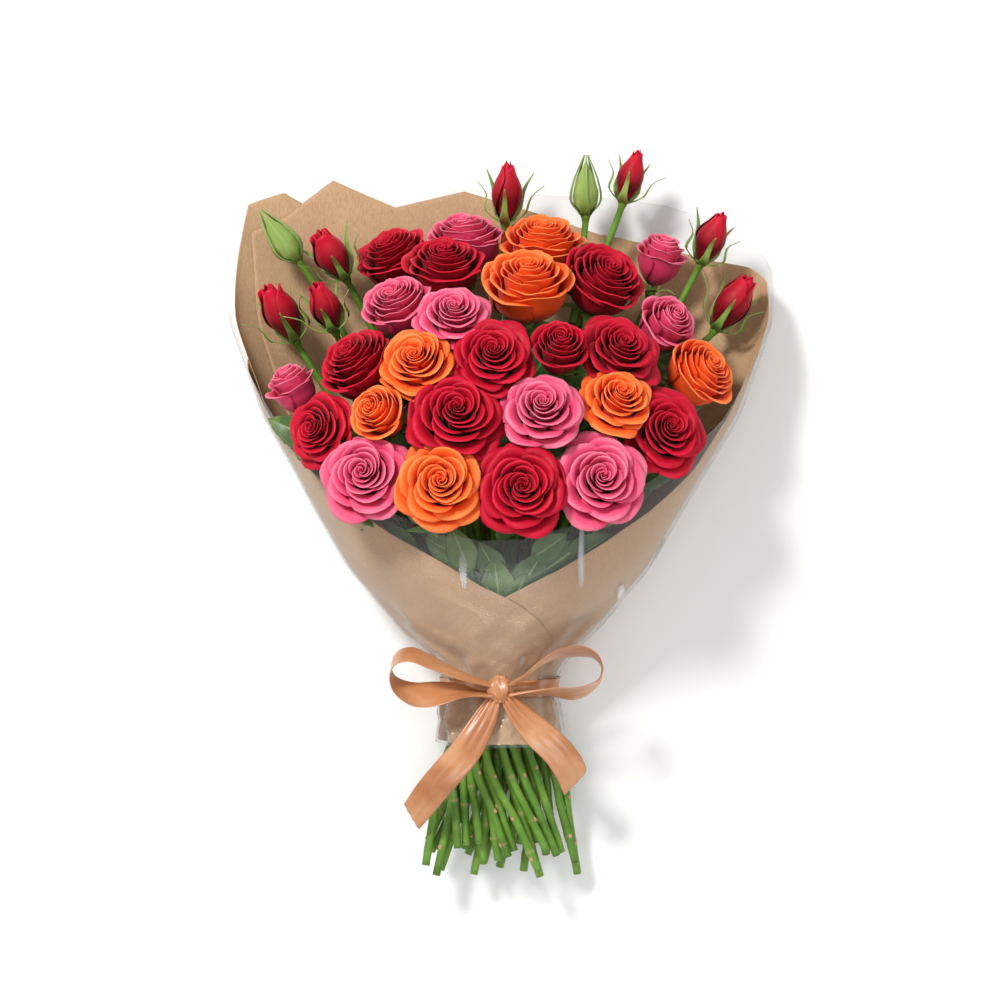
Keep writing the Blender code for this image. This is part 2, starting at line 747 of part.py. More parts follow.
def make_greens(blooms):
    rng = random.Random(SEED)
    node_of = {name: f"stems_{k + 1}" for k, trio in enumerate(TRIOS) for name in trio}
    stems = []
    for name, bloom in blooms.items():
        base = bloom.foot() - bloom.axis * HIP[-1][1] * bloom.scale
        stems.append(Stem(name, node_of[name], base, bloom.axis))
    hosts, feet = {}, {}
    for name, spray, _, tip, foot, _ in BUDS:
        axis = (Vector(tip) - Vector(foot)).normalized()
        stem = Stem("bud" + name, "spray_" + spray, Vector(foot) - axis * BUD_HIP[-1][1], axis,
                    host=hosts.get(spray))
        hosts.setdefault(spray, stem.name)
        feet[stem.name] = Vector(foot)
        stems.append(stem)
    mains = [stem for stem in stems if not stem.host]
    for stem, spot in zip(mains, waist_spots(mains)):
        stem.spot = spot
        stem.path = stem.start_path(Vector((spot[0], WAIST_Y, WAIST_Z + spot[1])))
        fan = np.array(stem.heading()) * 9
        stem.path[-2] = (spot[0] + fan[0] * 0.3, WAIST_Y + 9, WAIST_Z + spot[1] + fan[1] * 0.3)
    for stem in stems:
        if stem.host:
            host = next(other for other in stems if other.name == stem.host)
            stem.path = stem.start_path(Vector(host.path[HOST_POINT]))
    settle(stems, blooms)
    pieces = {}
    for stem in stems:
        end_y = None if stem.host else END_Y + END_RANDOM * (rng.random() - 0.5)
        if stem.name in blooms:
            bloom = blooms[stem.name]
            bar = stem_bar(stem, bloom.foot(), HIP, bloom.scale, end_y)
        else:
            bar = stem_bar(stem, feet[stem.name], BUD_HIP, 1.0, end_y)
        pieces.setdefault(stem.node, []).append(bar)
    for name, spray, colour, tip, foot, width in BUDS:
        greens = bud_greens(tip, foot, width)
        if colour == "green":
            greens.append(bud_body(tip, foot, width, -1.0))
        pieces["spray_" + spray] += greens
    by_name = {stem.name: stem for stem in stems}
    for name, point, foot, tip, width, depth in LEAVES:
        pieces[node_of[name]] += leaf_pieces(by_name[name], point, foot, tip, width, depth)
    for node, parts in pieces.items():
        fuse(node, parts, "green")
    return [stem.spot for stem in mains]


def make_buds():
    for name, _, colour, tip, foot, width in BUDS:
        if colour == "red":
            mesh_object(f"bud_{name}_red", bud_body(tip, foot, width, 0.0), "red")


def make_tie(spots):
    """A twine round the stems at the waist, drawn tight over the outer ones."""
    step = 2 * math.pi / TIE_SIDES
    turns = [step * k for k in range(TIE_SIDES)]
    room = STEM_R + GAP + TIE_R
    reach = [max(x * math.cos(turn) + z * math.sin(turn) for x, z in spots) + room for turn in turns]
    loops = []
    for k, turn in enumerate(turns):
        after = turns[k - 1]
        x = (reach[k - 1] * math.sin(turn) - reach[k] * math.sin(after)) / math.sin(step)
        z = (reach[k] * math.cos(after) - reach[k - 1] * math.cos(turn)) / math.sin(step)
        here = Vector((x, WAIST_Y, WAIST_Z + z))
        out = Vector((x, 0, z)).normalized()
        square = [(1, 0), (0, 1), (-1, 0), (0, -1)]
        loops.append([here + out * a * TIE_R + Vector((0, b * TIE_R, 0)) for a, b in square])
    points = [p for loop in loops for p in loop]
    faces = []
    for k in range(TIE_SIDES):
        here, nxt = 4 * k, 4 * ((k + 1) % TIE_SIDES)
        for j in range(4):
            faces.append([here + j, here + (j + 1) % 4, nxt + (j + 1) % 4, nxt + j])
    mesh_object("stem_tie", (points, faces), "twine")


class Skin:
    """The outer skin of the wrapper: one outline of columns at each station along it."""

    def __init__(self):
        self.ys = [row[0] for row in STATIONS]
        self.outlines = [self.outline(k, row) for k, row in enumerate(STATIONS)]

    def outline(self, number, station):
        """Points and outward normals of the skin at one station."""
        _, half, top, middle, floor = station
        line = []
        for j in range(COLUMNS):
            turn = math.radians(-90 + (j + 0.5) * 360 / COLUMNS)
            rise = math.sin(turn)
            height = (top - middle) * rise if rise > 0 else (middle - floor) * rise * FLATTEN
            line.append(Vector((half * math.cos(turn), 0, max(middle + height, floor))))
        shaped = []
        for j, here in enumerate(line):
            along = line[(j + 1) % COLUMNS] - line[j - 1]
            normal = Vector((along.z, 0, -along.x)).normalized()
            pleat = 0.0
            if number < PLEATED and abs(j - COLUMNS / 2 + 0.5) > 1:
                pleat = PLEAT if j % 2 else -PLEAT
            shaped.append((here + normal * pleat, normal))
        return shaped

    def point(self, column, y, depth):
        """The skin's point in a column at y, set in by depth, on the straight between stations."""
        k = max(i for i in range(len(self.ys) - 1) if self.ys[i] <= y or i == 0)
        share = (y - self.ys[k]) / (self.ys[k + 1] - self.ys[k])
        ends = []
        for outline in (self.outlines[k], self.outlines[k + 1]):
            here, normal = outline[column % COLUMNS]
            ends.append(here - normal * depth)
        spot = ends[0].lerp(ends[1], share)
        return Vector((spot.x, y, spot.z))


def skin_sheet(skin, first, hem, edge, outside, inside):
    """A sheet between two depths in the skin, from its hem up to an edge height per column."""
    full = len(edge) == COLUMNS
    levels = [hem] + [y for y in skin.ys if y > hem]
    columns = range(len(edge))
    points, index = [], {}
    for depth in (outside, inside):
        for k in columns:
            for y in sorted({min(level, edge[k]) for level in levels}):
                index[depth, k, y] = len(points)
                points.append(skin.point(first + k, y, depth))
    faces, loose = [], {}
    for k in range(len(edge) if full else len(edge) - 1):
        nxt = (k + 1) % len(edge)
        for low, high in zip(levels, levels[1:]):
            corners = [(k, min(low, edge[k])), (nxt, min(low, edge[nxt])),
                       (nxt, min(high, edge[nxt])), (k, min(high, edge[k]))]
            if (first + k) % COLUMNS >= COLUMNS // 2:
                corners = corners[1:] + corners[:1]
            ring = [c for i, c in enumerate(corners) if c != corners[i - 1]]
            for half in ([ring[:3], [ring[0], *ring[2:]]] if len(ring) == 4 else [ring]):
                if len(half) < 3:
                    continue
                faces.append([index[(outside, *c)] for c in reversed(half)])
                faces.append([index[(inside, *c)] for c in half])
                for i, corner in enumerate(half):
                    side = (half[i - 1], corner)
                    if side[::-1] in loose:
                        del loose[side[::-1]]
                    else:
                        loose[side] = True
    for a, b in loose:
        faces.append([index[(outside, *a)], index[(outside, *b)],
                      index[(inside, *b)], index[(inside, *a)]])
    return points, faces


def make_wrapper(skin):
    for name, layer, first, hem, edge, finish in SHEETS:
        outside = layer * SHEET_PITCH
        piece = skin_sheet(skin, first, hem, edge, outside, outside + SHEET_THICK)
        mesh_object(name, piece, finish)


def strip(route, sides, thick):
    """A flat ribbon along a route, lying across it in the direction given for each point."""
    loops = []
    for k, point in enumerate(route):
        here = Vector(point[:3])
        along = Vector(route[min(k + 1, len(route) - 1)][:3]) - Vector(route[max(k - 1, 0)][:3])
        side = Vector(sides[k])
        side = (side - along * side.dot(along) / along.length_squared).normalized()
        up = side.cross(along).normalized()
        half, rise = side * point[4] / 2, up * thick / 2
        loops.append([here - half - rise, here + half - rise, here + half + rise, here - half + rise])
    return rings(loops)


def make_ribbon(skin):
    """The satin bow: a band round the waist, a knot, two loops and two tails, in one length."""
    low, high = WAIST_Y - BAND_WIDE / 2, WAIST_Y + BAND_WIDE / 2
    band = skin_sheet(skin, 0, low, [high] * COLUMNS, -GAP - RIBBON_THICK, -GAP)
    knot = rings([
        [Vector((a * x, WAIST_Y + b * y, z)) for a, b in KNOT_SECTION]
        for x, y, z in [(9, 5.5, 82.9), (13, 11, 86), (12.5, 10.5, 92), (8.5, 7.5, 95)]
    ])
    pieces = [band, knot]
    for route in LOOPS:
        leans = [math.radians(point[3]) for point in route]
        across = [(0, -math.sin(turn), math.cos(turn)) for turn in leans]
        pieces.append(strip(route, across, RIBBON_THICK))
    for route in TAILS:
        hand = 1 if route[-1][0] > 0 else -1
        pieces.append(strip(route, [(1, 0.45 * hand, 0)] * len(route), RIBBON_THICK))
    fuse("satin_ribbon", pieces, "ribbon")


def make_all():
    clear_scene()
    blooms = {row[0]: Bloom(*row) for row in ROSES}
    for bloom in blooms.values():
        for other in blooms.values():
            if other is not bloom:
                bloom.part_from(other)
    skin = Skin()
    make_blooms(blooms)
    make_buds()
    spots = make_greens(blooms)
    make_tie(spots)
    make_wrapper(skin)
    make_ribbon(skin)


make_all()
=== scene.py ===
"""The looks of a rose bouquet that lies on its back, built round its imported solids.

Lengths are millimetres in the part's own frame until make_object scales them to metres: +Y runs
towards the blooms, +X to the right and +Z up from the surface.
"""
import math
import random

import bpy
import numpy as np
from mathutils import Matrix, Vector


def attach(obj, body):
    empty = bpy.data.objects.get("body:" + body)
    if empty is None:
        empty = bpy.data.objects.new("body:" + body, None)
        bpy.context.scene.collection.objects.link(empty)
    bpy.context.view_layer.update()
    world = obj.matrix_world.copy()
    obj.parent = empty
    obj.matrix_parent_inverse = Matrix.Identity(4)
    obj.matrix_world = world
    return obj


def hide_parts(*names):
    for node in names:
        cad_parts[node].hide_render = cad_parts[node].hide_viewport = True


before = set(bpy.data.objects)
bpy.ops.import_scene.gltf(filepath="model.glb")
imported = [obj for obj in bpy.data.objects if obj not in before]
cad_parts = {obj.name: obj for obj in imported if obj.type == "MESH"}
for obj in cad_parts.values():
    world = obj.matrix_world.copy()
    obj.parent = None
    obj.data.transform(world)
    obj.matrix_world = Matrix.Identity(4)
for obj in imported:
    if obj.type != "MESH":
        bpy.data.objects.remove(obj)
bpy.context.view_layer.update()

MM = 0.001
SEED = 27
GAP = 0.4

# The camera looks straight down from the photograph's distance
CAMERA_SPOT = (0.0, 10.0, 1800.0)
LENS = 87.45
SENSOR = 36.0

# Blooms, as in the part: reference width and height, dome of eyes, and pressing
BLOOM_WIDTH = 54.0
BLOOM_HEIGHT = 44.0
PRESS_SOFT = 4.0
PRESS_MARGIN = 4.0
DOME_RX = 225.0
DOME_RY = 235.0
DOME_Y = -10.0
DOME_RISE = 195.0
DOME_SINK = 5.0
DOME_EDGE = 46.0

# Stems, as in the part
STEM_R = 2.95
STEM_TIP_R = 2.4
STEM_POINTS = 26
STEM_ROOM = 8.8
HIP = [(3.8, 0.5), (5.3, 4.5), (2.6, 11.0)]
BUD_HIP = [(2.8, 0.4), (3.8, 4.0), (2.0, 9.0)]
WAIST_Y = -124.0
WAIST_Z = 39.5
BUNDLE_START = 19.0
BUNDLE_STEPS = 1500
TRIO_PITCH = 4.5
FREE_PITCH = 6.5
TIE_R = 0.9
TIE_SIDES = 16
END_Y = -250.0
END_RANDOM = 28.0
END_WIDEN = 3.9
END_DEEPEN = 1.22
END_DROP = 3.0
TWIST = math.radians(-62)
STEM_FLOOR = 11.0
STEM_MARGIN = 15.0
FRONT_EDGE = -12.0
HOST_POINT = 10

# Wrapper, as in the part: (y, half width, top, widest height, floor of the skin)
STATIONS = [
    (-165, 45, 87, 43, 1.4),
    (-124, 39.5, 81, 41, 9.9),
    (-108, 45, 85, 42, 5.0),
    (-80, 72, 106, 48, 0.0),
    (-40, 107, 130, 58, 0.0),
    (10, 137, 144, 66, 0.0),
    (70, 171, 144, 62, 0.0),
    (140, 195, 134, 50, 0.0),
    (265, 204, 120, 34, 0.0),
]
COLUMNS = 24
FLATTEN = 1.3
SHEET_THICK = 0.8
SHEET_PITCH = 1.5
PLEAT = 1.2
PLEAT_END = -80.0
RIBBON_WIDE = 25.0
RIBBON_THICK = 1.0
BAND_WIDE = 12.0

# Roses: name, colour, eye x, eye y, width, tilt from upright, heading of the lean, form
ROSES = [
    ("01", "pink", -27, 210, 54, 66, 95, "open"),
    ("02", "orange", 30, 206, 57, 62, 88, "open"),
    ("03", "red", -83, 196, 50, 60, 118, "open"),
    ("04", "red", -40, 187, 51, 54, 92, "open"),
    ("05", "orange", 19, 174, 60, 52, 90, "open"),
    ("06", "red", 78, 175, 55, 46, 60, "open"),
    ("07", "pink", 119, 197, 44, 68, 75, "half"),
    ("08", "pink", -76, 155, 46, 52, 112, "open"),
    ("09", "pink", -32, 144, 49, 38, 88, "open"),
    ("10", "pink", 123, 141, 48, 45, 50, "half"),
    ("11", "red", -106, 113, 52, 56, 128, "open"),
    ("12", "orange", -59, 110, 54, 32, 110, "open"),
    ("13", "red", -5, 113, 54, 25, 90, "open"),
    ("14", "red", 41, 121, 45, 36, 88, "half"),
    ("15", "red", 85, 120, 55, 38, 66, "open"),
    ("16", "orange", 149, 107, 50, 52, 40, "open"),
    ("17", "pink", -150, 99, 42, 72, 118, "half"),
    ("18", "orange", -88, 73, 45, 35, 145, "half"),
    ("19", "red", -29, 73, 63, 24, 84, "open"),
    ("20", "pink", 28, 77, 51, 28, 90, "open"),
    ("21", "orange", 83, 85, 49, 36, 66, "open"),
    ("22", "red", 117, 61, 54, 24, 40, "open"),
    ("23", "red", -130, 60, 48, 34, 165, "open"),
    ("24", "pink", -93, 30, 56, 16, 130, "open"),
    ("25", "orange", -40, 24, 57, 12, 95, "open"),
    ("26", "red", 15, 20, 57, 9, 90, "open"),
    ("27", "pink", 69, 27, 57, 13, 70, "open"),
]
TRIOS = [
    ("24", "25", "18"),
    ("26", "19", "13"),
    ("27", "22", "21"),
    ("23", "17", "11"),
    ("12", "09", "08"),
    ("20", "14", "15"),
    ("16", "10", "06"),
    ("01", "04", "03"),
    ("02", "05", "07"),
]
BUDS = [
    ("1", "middle", "red", (6, 253, 62), (4, 214, 46), 25),
    ("2", "back_right", "green", (62, 254, 52), (62, 220, 40), 20),
    ("3", "back_right", "red", (100, 262, 56), (90, 229, 42), 22),
    ("4", "right", "red", (160, 216, 64), (146, 184, 48), 26),
    ("5", "right", "red", (180, 170, 66), (157, 136, 50), 28),
    ("6", "back_left", "green", (-169, 214, 58), (-148, 186, 44), 19),
    ("7", "back_left", "red", (-130, 203, 66), (-113, 173, 50), 28),
    ("8", "left", "red", (-168, 164, 66), (-149, 128, 50), 28),
    ("9", "left", "red", (-131, 164, 88), (-119, 134, 72), 24),
]

# Leaves of the part: stem, point along it, foot and tip seen from above, width, depth under the skin
LEAVES = [
    ("24", 1, (-60, -24), (-94, -6), 24, 8.0),
    ("25", 2, (-38, -42), (-72, -34), 22, 8.0),
    ("25", 1, (-26, -30), (-52, -16), 20, 8.0),
    ("26", 3, (-4, -56), (-26, -40), 20, 8.0),
    ("26", 2, (0, -44), (-14, -20), 20, 8.0),
    ("26", 3, (8, -54), (34, -40), 22, 8.0),
    ("27", 2, (40, -38), (72, -24), 22, 8.0),
    ("27", 1, (22, -30), (46, -14), 20, 8.0),
]
MORE_LEAVES = [
    ("24", 2, (-33, -57), (-72, -24), 25, 6.0),
    ("25", 3, (-16, -52), (-46, -36), 24, 5.0),
    ("26", 2, (0, -62), (-4, -30), 25, 5.5),
    ("26", 3, (12, -54), (30, -26), 24, 6.5),
    ("27", 3, (26, -42), (60, -18), 24, 7.0),
    ("25", 2, (-20, -40), (-34, -8), 22, 7.0),
    ("27", 2, (44, -34), (78, -14), 24, 6.0),
    ("24", 3, (-58, -34), (-86, -4), 24, 6.0),
    ("26", 4, (6, -66), (18, -42), 20, 4.5),
    ("25", 4, (-8, -64), (-26, -46), 20, 4.5),
]
BAR_STEP = 5

# Sheets: name, layer from the outside, first column, hem, height of the top edge per column
SHEETS = [
    ("clear_film", 0, 0, -165,
     [236, 234, 228, 216, 200, 176, 130, 66, 34, 10, -8, -17,
      -18, -10, 4, 30, 62, 112, 160, 225, 252, 258, 250, 240]),
    ("kraft_front_left", 1, 8, -163,
     [-104, -90, -76, -62, -50, -32, -14, 8, 40, 96, 112, 70, 70, 60]),
    ("kraft_right", 2, -1, -160,
     [170, 190, 206, 196, 186, 180, 168, 125, 32, 2, -20, -38, -53, -66, -80]),
    ("kraft_back_left", 3, 17, -157,
     [95, 160, 226, 236, 216, 205, 195, 180, 160]),
    ("kraft_back", 4, 19, -154,
     [205, 218, 246, 226, 238, 222, 205, 190]),
]

# The bow, as in the part: (x, y, z, lean of the width, width)
LOOPS = [
    [
        (-5, -120.5, 90, 6, 10), (-16, -117, 92, 10, 15), (-32, -111, 95.5, 14, 22), (-50, -103, 97, 18, 24),
        (-63, -98.5, 96, 20, 24), (-72, -101, 95, 18, 24), (-76.5, -109, 94, 17, 24), (-75, -117, 93, 21, 24),
        (-69, -123, 92, 30, 24), (-59, -127, 91, 40, 24), (-45, -126.5, 91, 42, 24), (-28, -124.5, 92, 30, 20),
        (-14, -126, 91, 16, 14), (-5, -127.5, 90, 6, 10),
    ],
    [
        (6, -120.5, 90, -6, 10), (17, -114, 92.5, -8, 15), (29, -104.5, 96, -12, 21), (43, -97.5, 97, -20, 24),
        (57, -96, 96, -20, 24), (67, -100, 95, -14, 24), (71.5, -108, 94, -10, 24), (70, -116, 93, -13, 24),
        (63, -122, 92, -20, 24), (52, -126, 91, -26, 24), (38, -125, 91, -22, 22), (20, -125.5, 90.5, -12, 16),
        (6, -127.5, 90, -6, 10),
    ],
]
TAILS = [
    [
        (-3, -128, 88, 0, 10), (-11, -145, 90.5, 0, 20), (-23, -165, 93, 0, 25), (-37, -182, 88, 0, 25),
        (-49, -197, 78, 0, 25), (-60, -212, 66, 0, 25),
    ],
    [
        (4, -128, 89.5, 0, 10), (14, -141, 91.5, 0, 19), (28, -155, 92, 0, 25), (41, -168, 86, 0, 25),
        (50, -182, 77, 0, 25), (55, -197, 66, 0, 25),
    ],
]

# Petals from outside in: count, contact radius and height, rim radius and height, half angle, roll, tuck
OPEN_LAYERS = [
    (5, 19.5, 22.0, 30.0, 28.5, 0.95, 6.0, 2.6),
    (5, 16.0, 27.0, 25.0, 34.5, 0.95, 4.6, 3.0),
    (4, 13.4, 31.5, 19.2, 39.4, 1.15, 2.8, 3.2),
    (4, 10.4, 34.0, 14.6, 42.0, 1.20, 1.8, 3.0),
    (3, 7.4, 36.0, 10.6, 43.6, 1.50, 1.2, 2.8),
    (3, 4.8, 37.5, 7.2, 43.8, 1.50, 0.6, 2.2),
    (3, 2.6, 38.5, 4.2, 43.2, 1.60, 0.3, 1.6),
    (2, 1.0, 39.0, 1.8, 42.4, 2.20, 0.1, 0.9),
]
CUP_LAYERS = [
    (5, 22.0, 21.0, 27.5, 34.5, 1.00, 6.0, 2.6),
    (5, 18.5, 27.0, 23.0, 38.5, 0.95, 4.0, 3.0),
    (4, 15.0, 31.5, 18.4, 41.5, 1.15, 2.8, 3.2),
    (4, 11.4, 34.0, 14.2, 43.2, 1.20, 1.8, 3.0),
    (3, 8.0, 36.0, 10.4, 44.2, 1.50, 1.2, 2.8),
    (3, 5.0, 37.5, 7.0, 44.2, 1.50, 0.6, 2.2),
    (3, 2.6, 38.5, 4.2, 43.6, 1.60, 0.3, 1.6),
    (2, 1.0, 39.0, 1.8, 42.8, 2.20, 0.1, 0.9),
]
CUP_TILT = 44
HALF_LAYERS = [
    (4, 17.0, 22.0, 22.5, 34.0, 1.15, 5.0, 2.4),
    (4, 13.6, 28.0, 17.4, 40.0, 1.15, 3.0, 2.6),
    (4, 11.0, 32.0, 13.2, 43.2, 1.15, 1.6, 2.4),
    (3, 8.2, 35.0, 9.8, 45.2, 1.45, 0.8, 2.0),
    (3, 5.4, 37.0, 6.6, 46.0, 1.50, 0.5, 1.8),
    (3, 2.8, 38.0, 3.8, 45.6, 1.60, 0.2, 1.4),
    (2, 1.2, 39.0, 1.8, 45.0, 2.10, 0.1, 0.9),
]
PETAL_ROWS = 11
PETAL_COLUMNS = 13
PETAL_THICK = 0.35
PETAL_GROWTH = 1.05
PETAL_EASE = 3.0


def unit(v):
    return v / np.maximum(np.linalg.norm(v, axis=-1, keepdims=True), 1e-9)


class Shape:
    """Points, faces and point values gathered for one mesh."""

    def __init__(self):
        self.points = []
        self.faces = []
        self.values = []
        self.count = 0

    def add(self, points, faces, values):
        """Points (n, 3), faces as arrays of corners, and values (n, 3): along, tone and mark."""
        self.points.append(points)
        self.faces += [corners + self.count for corners in faces]
        self.values.append(np.broadcast_to(values, (len(points), 3)))
        self.count += len(points)


def make_object(name, shape, material, replaced=()):
    """One object in metres from a shape, which rides on the root and stands for CAD nodes."""
    mesh = bpy.data.meshes.new(name)
    points = np.concatenate(shape.points) * MM
    corners = np.concatenate([face.ravel() for face in shape.faces])
    sizes = np.concatenate([np.full(len(face), face.shape[1]) for face in shape.faces])
    mesh.vertices.add(len(points))
    mesh.vertices.foreach_set("co", points.astype("f4").ravel())
    mesh.loops.add(len(corners))
    mesh.loops.foreach_set("vertex_index", corners.astype("i4"))
    mesh.polygons.add(len(sizes))
    starts = np.concatenate([[0], np.cumsum(sizes)[:-1]])
    mesh.polygons.foreach_set("loop_start", starts.astype("i4"))
    mesh.update(calc_edges=True)
    mesh.validate()
    values = np.concatenate(shape.values).astype("f4")
    for k, label in enumerate(("along", "tone", "mark")):
        layer = mesh.attributes.new(label, "FLOAT", "POINT")
        layer.data.foreach_set("value", values[:, k].copy())
    mesh.shade_smooth()
    mesh.materials.append(material)
    body = bpy.data.objects.new(name, mesh)
    bpy.context.scene.collection.objects.link(body)
    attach(body, "root")
    if replaced:
        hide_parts(*replaced)
    return body


def shell(grid, thick, wrap=False):
    """A closed thin sheet over a grid of points (rows, columns, 3): its points and faces."""
    rows, columns = grid.shape[:2]
    if wrap:
        across = (np.roll(grid, -1, 1) - np.roll(grid, 1, 1)) / 2
    else:
        across = np.gradient(grid, axis=1)
    normal = unit(np.cross(across, np.gradient(grid, axis=0)))
    half = normal * (np.asarray(thick) / 2)
    points = np.concatenate([(grid + half).reshape(-1, 3), (grid - half).reshape(-1, 3)])
    index = np.arange(rows * columns).reshape(rows, columns)
    here = index if wrap else index[:, :-1]
    nxt = np.roll(index, -1, 1) if wrap else index[:, 1:]
    front = np.stack([here[:-1], nxt[:-1], nxt[1:], here[1:]], -1).reshape(-1, 4)
    back = front[:, ::-1] + index.size
    faces = [front, back]
    for low, high, turned in ((here[0], nxt[0], True), (here[-1], nxt[-1], False)):
        rim = np.stack([low, high, high + index.size, low + index.size], -1)
        faces.append(rim[:, ::-1] if turned else rim)
    if not wrap:
        for low, high, turned in ((index[:-1, 0], index[1:, 0], False), (index[:-1, -1], index[1:, -1], True)):
            rim = np.stack([low, high, high + index.size, low + index.size], -1)
            faces.append(rim[:, ::-1] if turned else rim)
    return points, faces


def both_sides(values):
    """Grid values, repeated for the front and the back of a shell."""
    flat = values.reshape(-1, values.shape[-1])
    return np.concatenate([flat, flat])


def smooth_path(points, steps):
    """A smooth curve through points, as an array with that many steps in all."""
    points = np.asarray(points, float)
    knots = np.concatenate([[0], np.cumsum(np.linalg.norm(np.diff(points[:, :3], axis=0), axis=1) ** 0.5)])
    slope = np.gradient(points, knots, axis=0)
    t = np.linspace(0, knots[-1], steps)
    k = np.clip(np.searchsorted(knots, t, side="right") - 1, 0, len(knots) - 2)
    span = (knots[k + 1] - knots[k])[:, None]
    s = (t - knots[k])[:, None] / span
    return (
        points[k] * (2 * s ** 3 - 3 * s ** 2 + 1) + slope[k] * span * (s ** 3 - 2 * s ** 2 + s)
        + points[k + 1] * (3 * s ** 2 - 2 * s ** 3) + slope[k + 1] * span * (s ** 3 - s ** 2)
    )


def tube(path, radii, sides):
    """A round bar along a path: its points, its faces and the ring number of each point."""
    along = unit(np.gradient(path, axis=0))
    side = np.zeros_like(path)
    side[0] = unit(np.cross(along[0], (0.2, 0.1, 1.0)))
    for k in range(1, len(path)):
        side[k] = unit(side[k - 1] - along[k] * side[k - 1].dot(along[k]))
    up = np.cross(along, side)
    turn = np.linspace(0, 2 * math.pi, sides, endpoint=False)
    ring = side[:, None] * np.cos(turn)[:, None] + up[:, None] * np.sin(turn)[:, None]
    points = (path[:, None] + ring * np.asarray(radii)[:, None, None]).reshape(-1, 3)
    index = np.arange(len(path) * sides).reshape(-1, sides)
    nxt = np.roll(index, -1, 1)
    walls = np.stack([index[:-1], nxt[:-1], nxt[1:], index[1:]], -1).reshape(-1, 4)
    return points, [walls, index[:1, ::-1], index[-1:]]


def lean(tilt, heading):
    t, h = math.radians(tilt), math.radians(heading)
    return Vector((math.sin(t) * math.cos(h), math.sin(t) * math.sin(h), math.cos(t)))


def dome(x, y):
    share = 1 - (x / DOME_RX) ** 2 - ((y - DOME_Y) / DOME_RY) ** 2
    return max(DOME_EDGE, DOME_RISE * math.sqrt(max(share, 0)) - DOME_SINK)


class Bloom:
    """Where a rose stands and leans, and the planes that part it from its neighbours."""

    def __init__(self, name, colour, x, y, width, tilt, heading, form):
        self.name = name
        self.colour = colour
        self.form = "cup" if form == "open" and tilt >= CUP_TILT else form
        self.scale = width / BLOOM_WIDTH
        self.axis = lean(tilt, heading)
        self.eye = Vector((x, y, dome(x, y)))
        self.base = self.eye - self.axis * BLOOM_HEIGHT * self.scale
        self.middle = self.base + self.axis * BLOOM_HEIGHT * 0.62 * self.scale
        self.radius = 0.5 * width
        self.planes = []

    def part_from(self, other):
        away = other.middle - self.middle
        reach = self.radius + other.radius
        if away.length < reach + PRESS_MARGIN:
            share = away.length * self.radius / reach
            self.planes.append((np.array(away.normalized()), share - GAP))

    def placed(self, points, grown=1.0, ease=0.0):
        """Points of the rose's own frame in their world place, pressed against the neighbours."""
        turn = np.array(self.axis.to_track_quat("Z", "Y").to_matrix())
        here = points @ turn.T * self.scale * grown + np.array(self.base)
        for away, room in self.planes:
            left = room + ease - (here - np.array(self.middle)) @ away
            push = np.where(left < PRESS_SOFT, PRESS_SOFT * np.exp(left / PRESS_SOFT - 1) - left, 0)
            here = here - push[..., None] * away
        return here

    def foot(self):
        turn = np.linspace(0, 2 * math.pi, 8, endpoint=False)
        ring = np.stack([4.2 * np.cos(turn), 4.2 * np.sin(turn), 0 * turn], -1)
        return Vector(self.placed(ring).mean(axis=0))


def petal_grid(middle, layer, rng):
    """One petal on rows of its height and columns of its width, in the rose's own frame."""
    _, touch, touch_z, rim, rim_z, half, roll, tuck = layer
    u = np.linspace(-1, 1, PETAL_COLUMNS)[None, :]
    v = np.linspace(0, 1, PETAL_ROWS)[:, None] ** 0.8
    phase = [rng.uniform(0, 2 * math.pi) for _ in range(4)]
    point = rng.uniform(0.03, 0.13)
    p = v * (1 - point * np.abs(u) ** 1.5 - 0.20 * np.abs(u) ** 5)
    rise = np.sin(np.minimum(p / 0.55, 1) * math.pi / 2)
    wide = 0.34 + 0.66 * rise
    turn = middle + half * u * wide
    foot = min(3.6, 0.6 * touch)
    open_up = np.clip((p - 0.55) / 0.45, 0, 1)
    radius = foot + (touch - foot) * rise + (rim * rng.uniform(0.95, 1.05) - touch) * open_up ** 1.15
    radius = radius + tuck * u * (0.2 + 0.8 * p) - 0.11 * rim * np.abs(u) ** 1.3 * open_up
    height = 2.2 + (touch_z - 2.2) * np.minimum(p / 0.55, 1) ** 1.15
    height = height + (rim_z + rng.uniform(-1.3, 1.0) - touch_z) * open_up ** 0.8
    curl = np.clip((p - 0.80 + 0.10 * np.abs(u) ** 2) / 0.22, 0, 1) ** 2
    height = height - roll * curl * (0.45 + 0.75 * np.abs(u) ** 1.5)
    radius = radius + 0.30 * roll * curl
    wave = np.sin(3.6 * u + phase[0]) + 0.6 * np.sin(7.9 * u + phase[1])
    height = height + 0.034 * rim * wave * p ** 3
    radius = radius + 0.020 * rim * np.sin(5.2 * u + phase[2]) * p ** 2
    height = height + 0.012 * rim * np.sin(11 * u + 4 * v + phase[3]) * p ** 2
    grid = np.stack([radius * np.cos(turn), radius * np.sin(turn), height + 0 * turn], -1)
    return grid, p


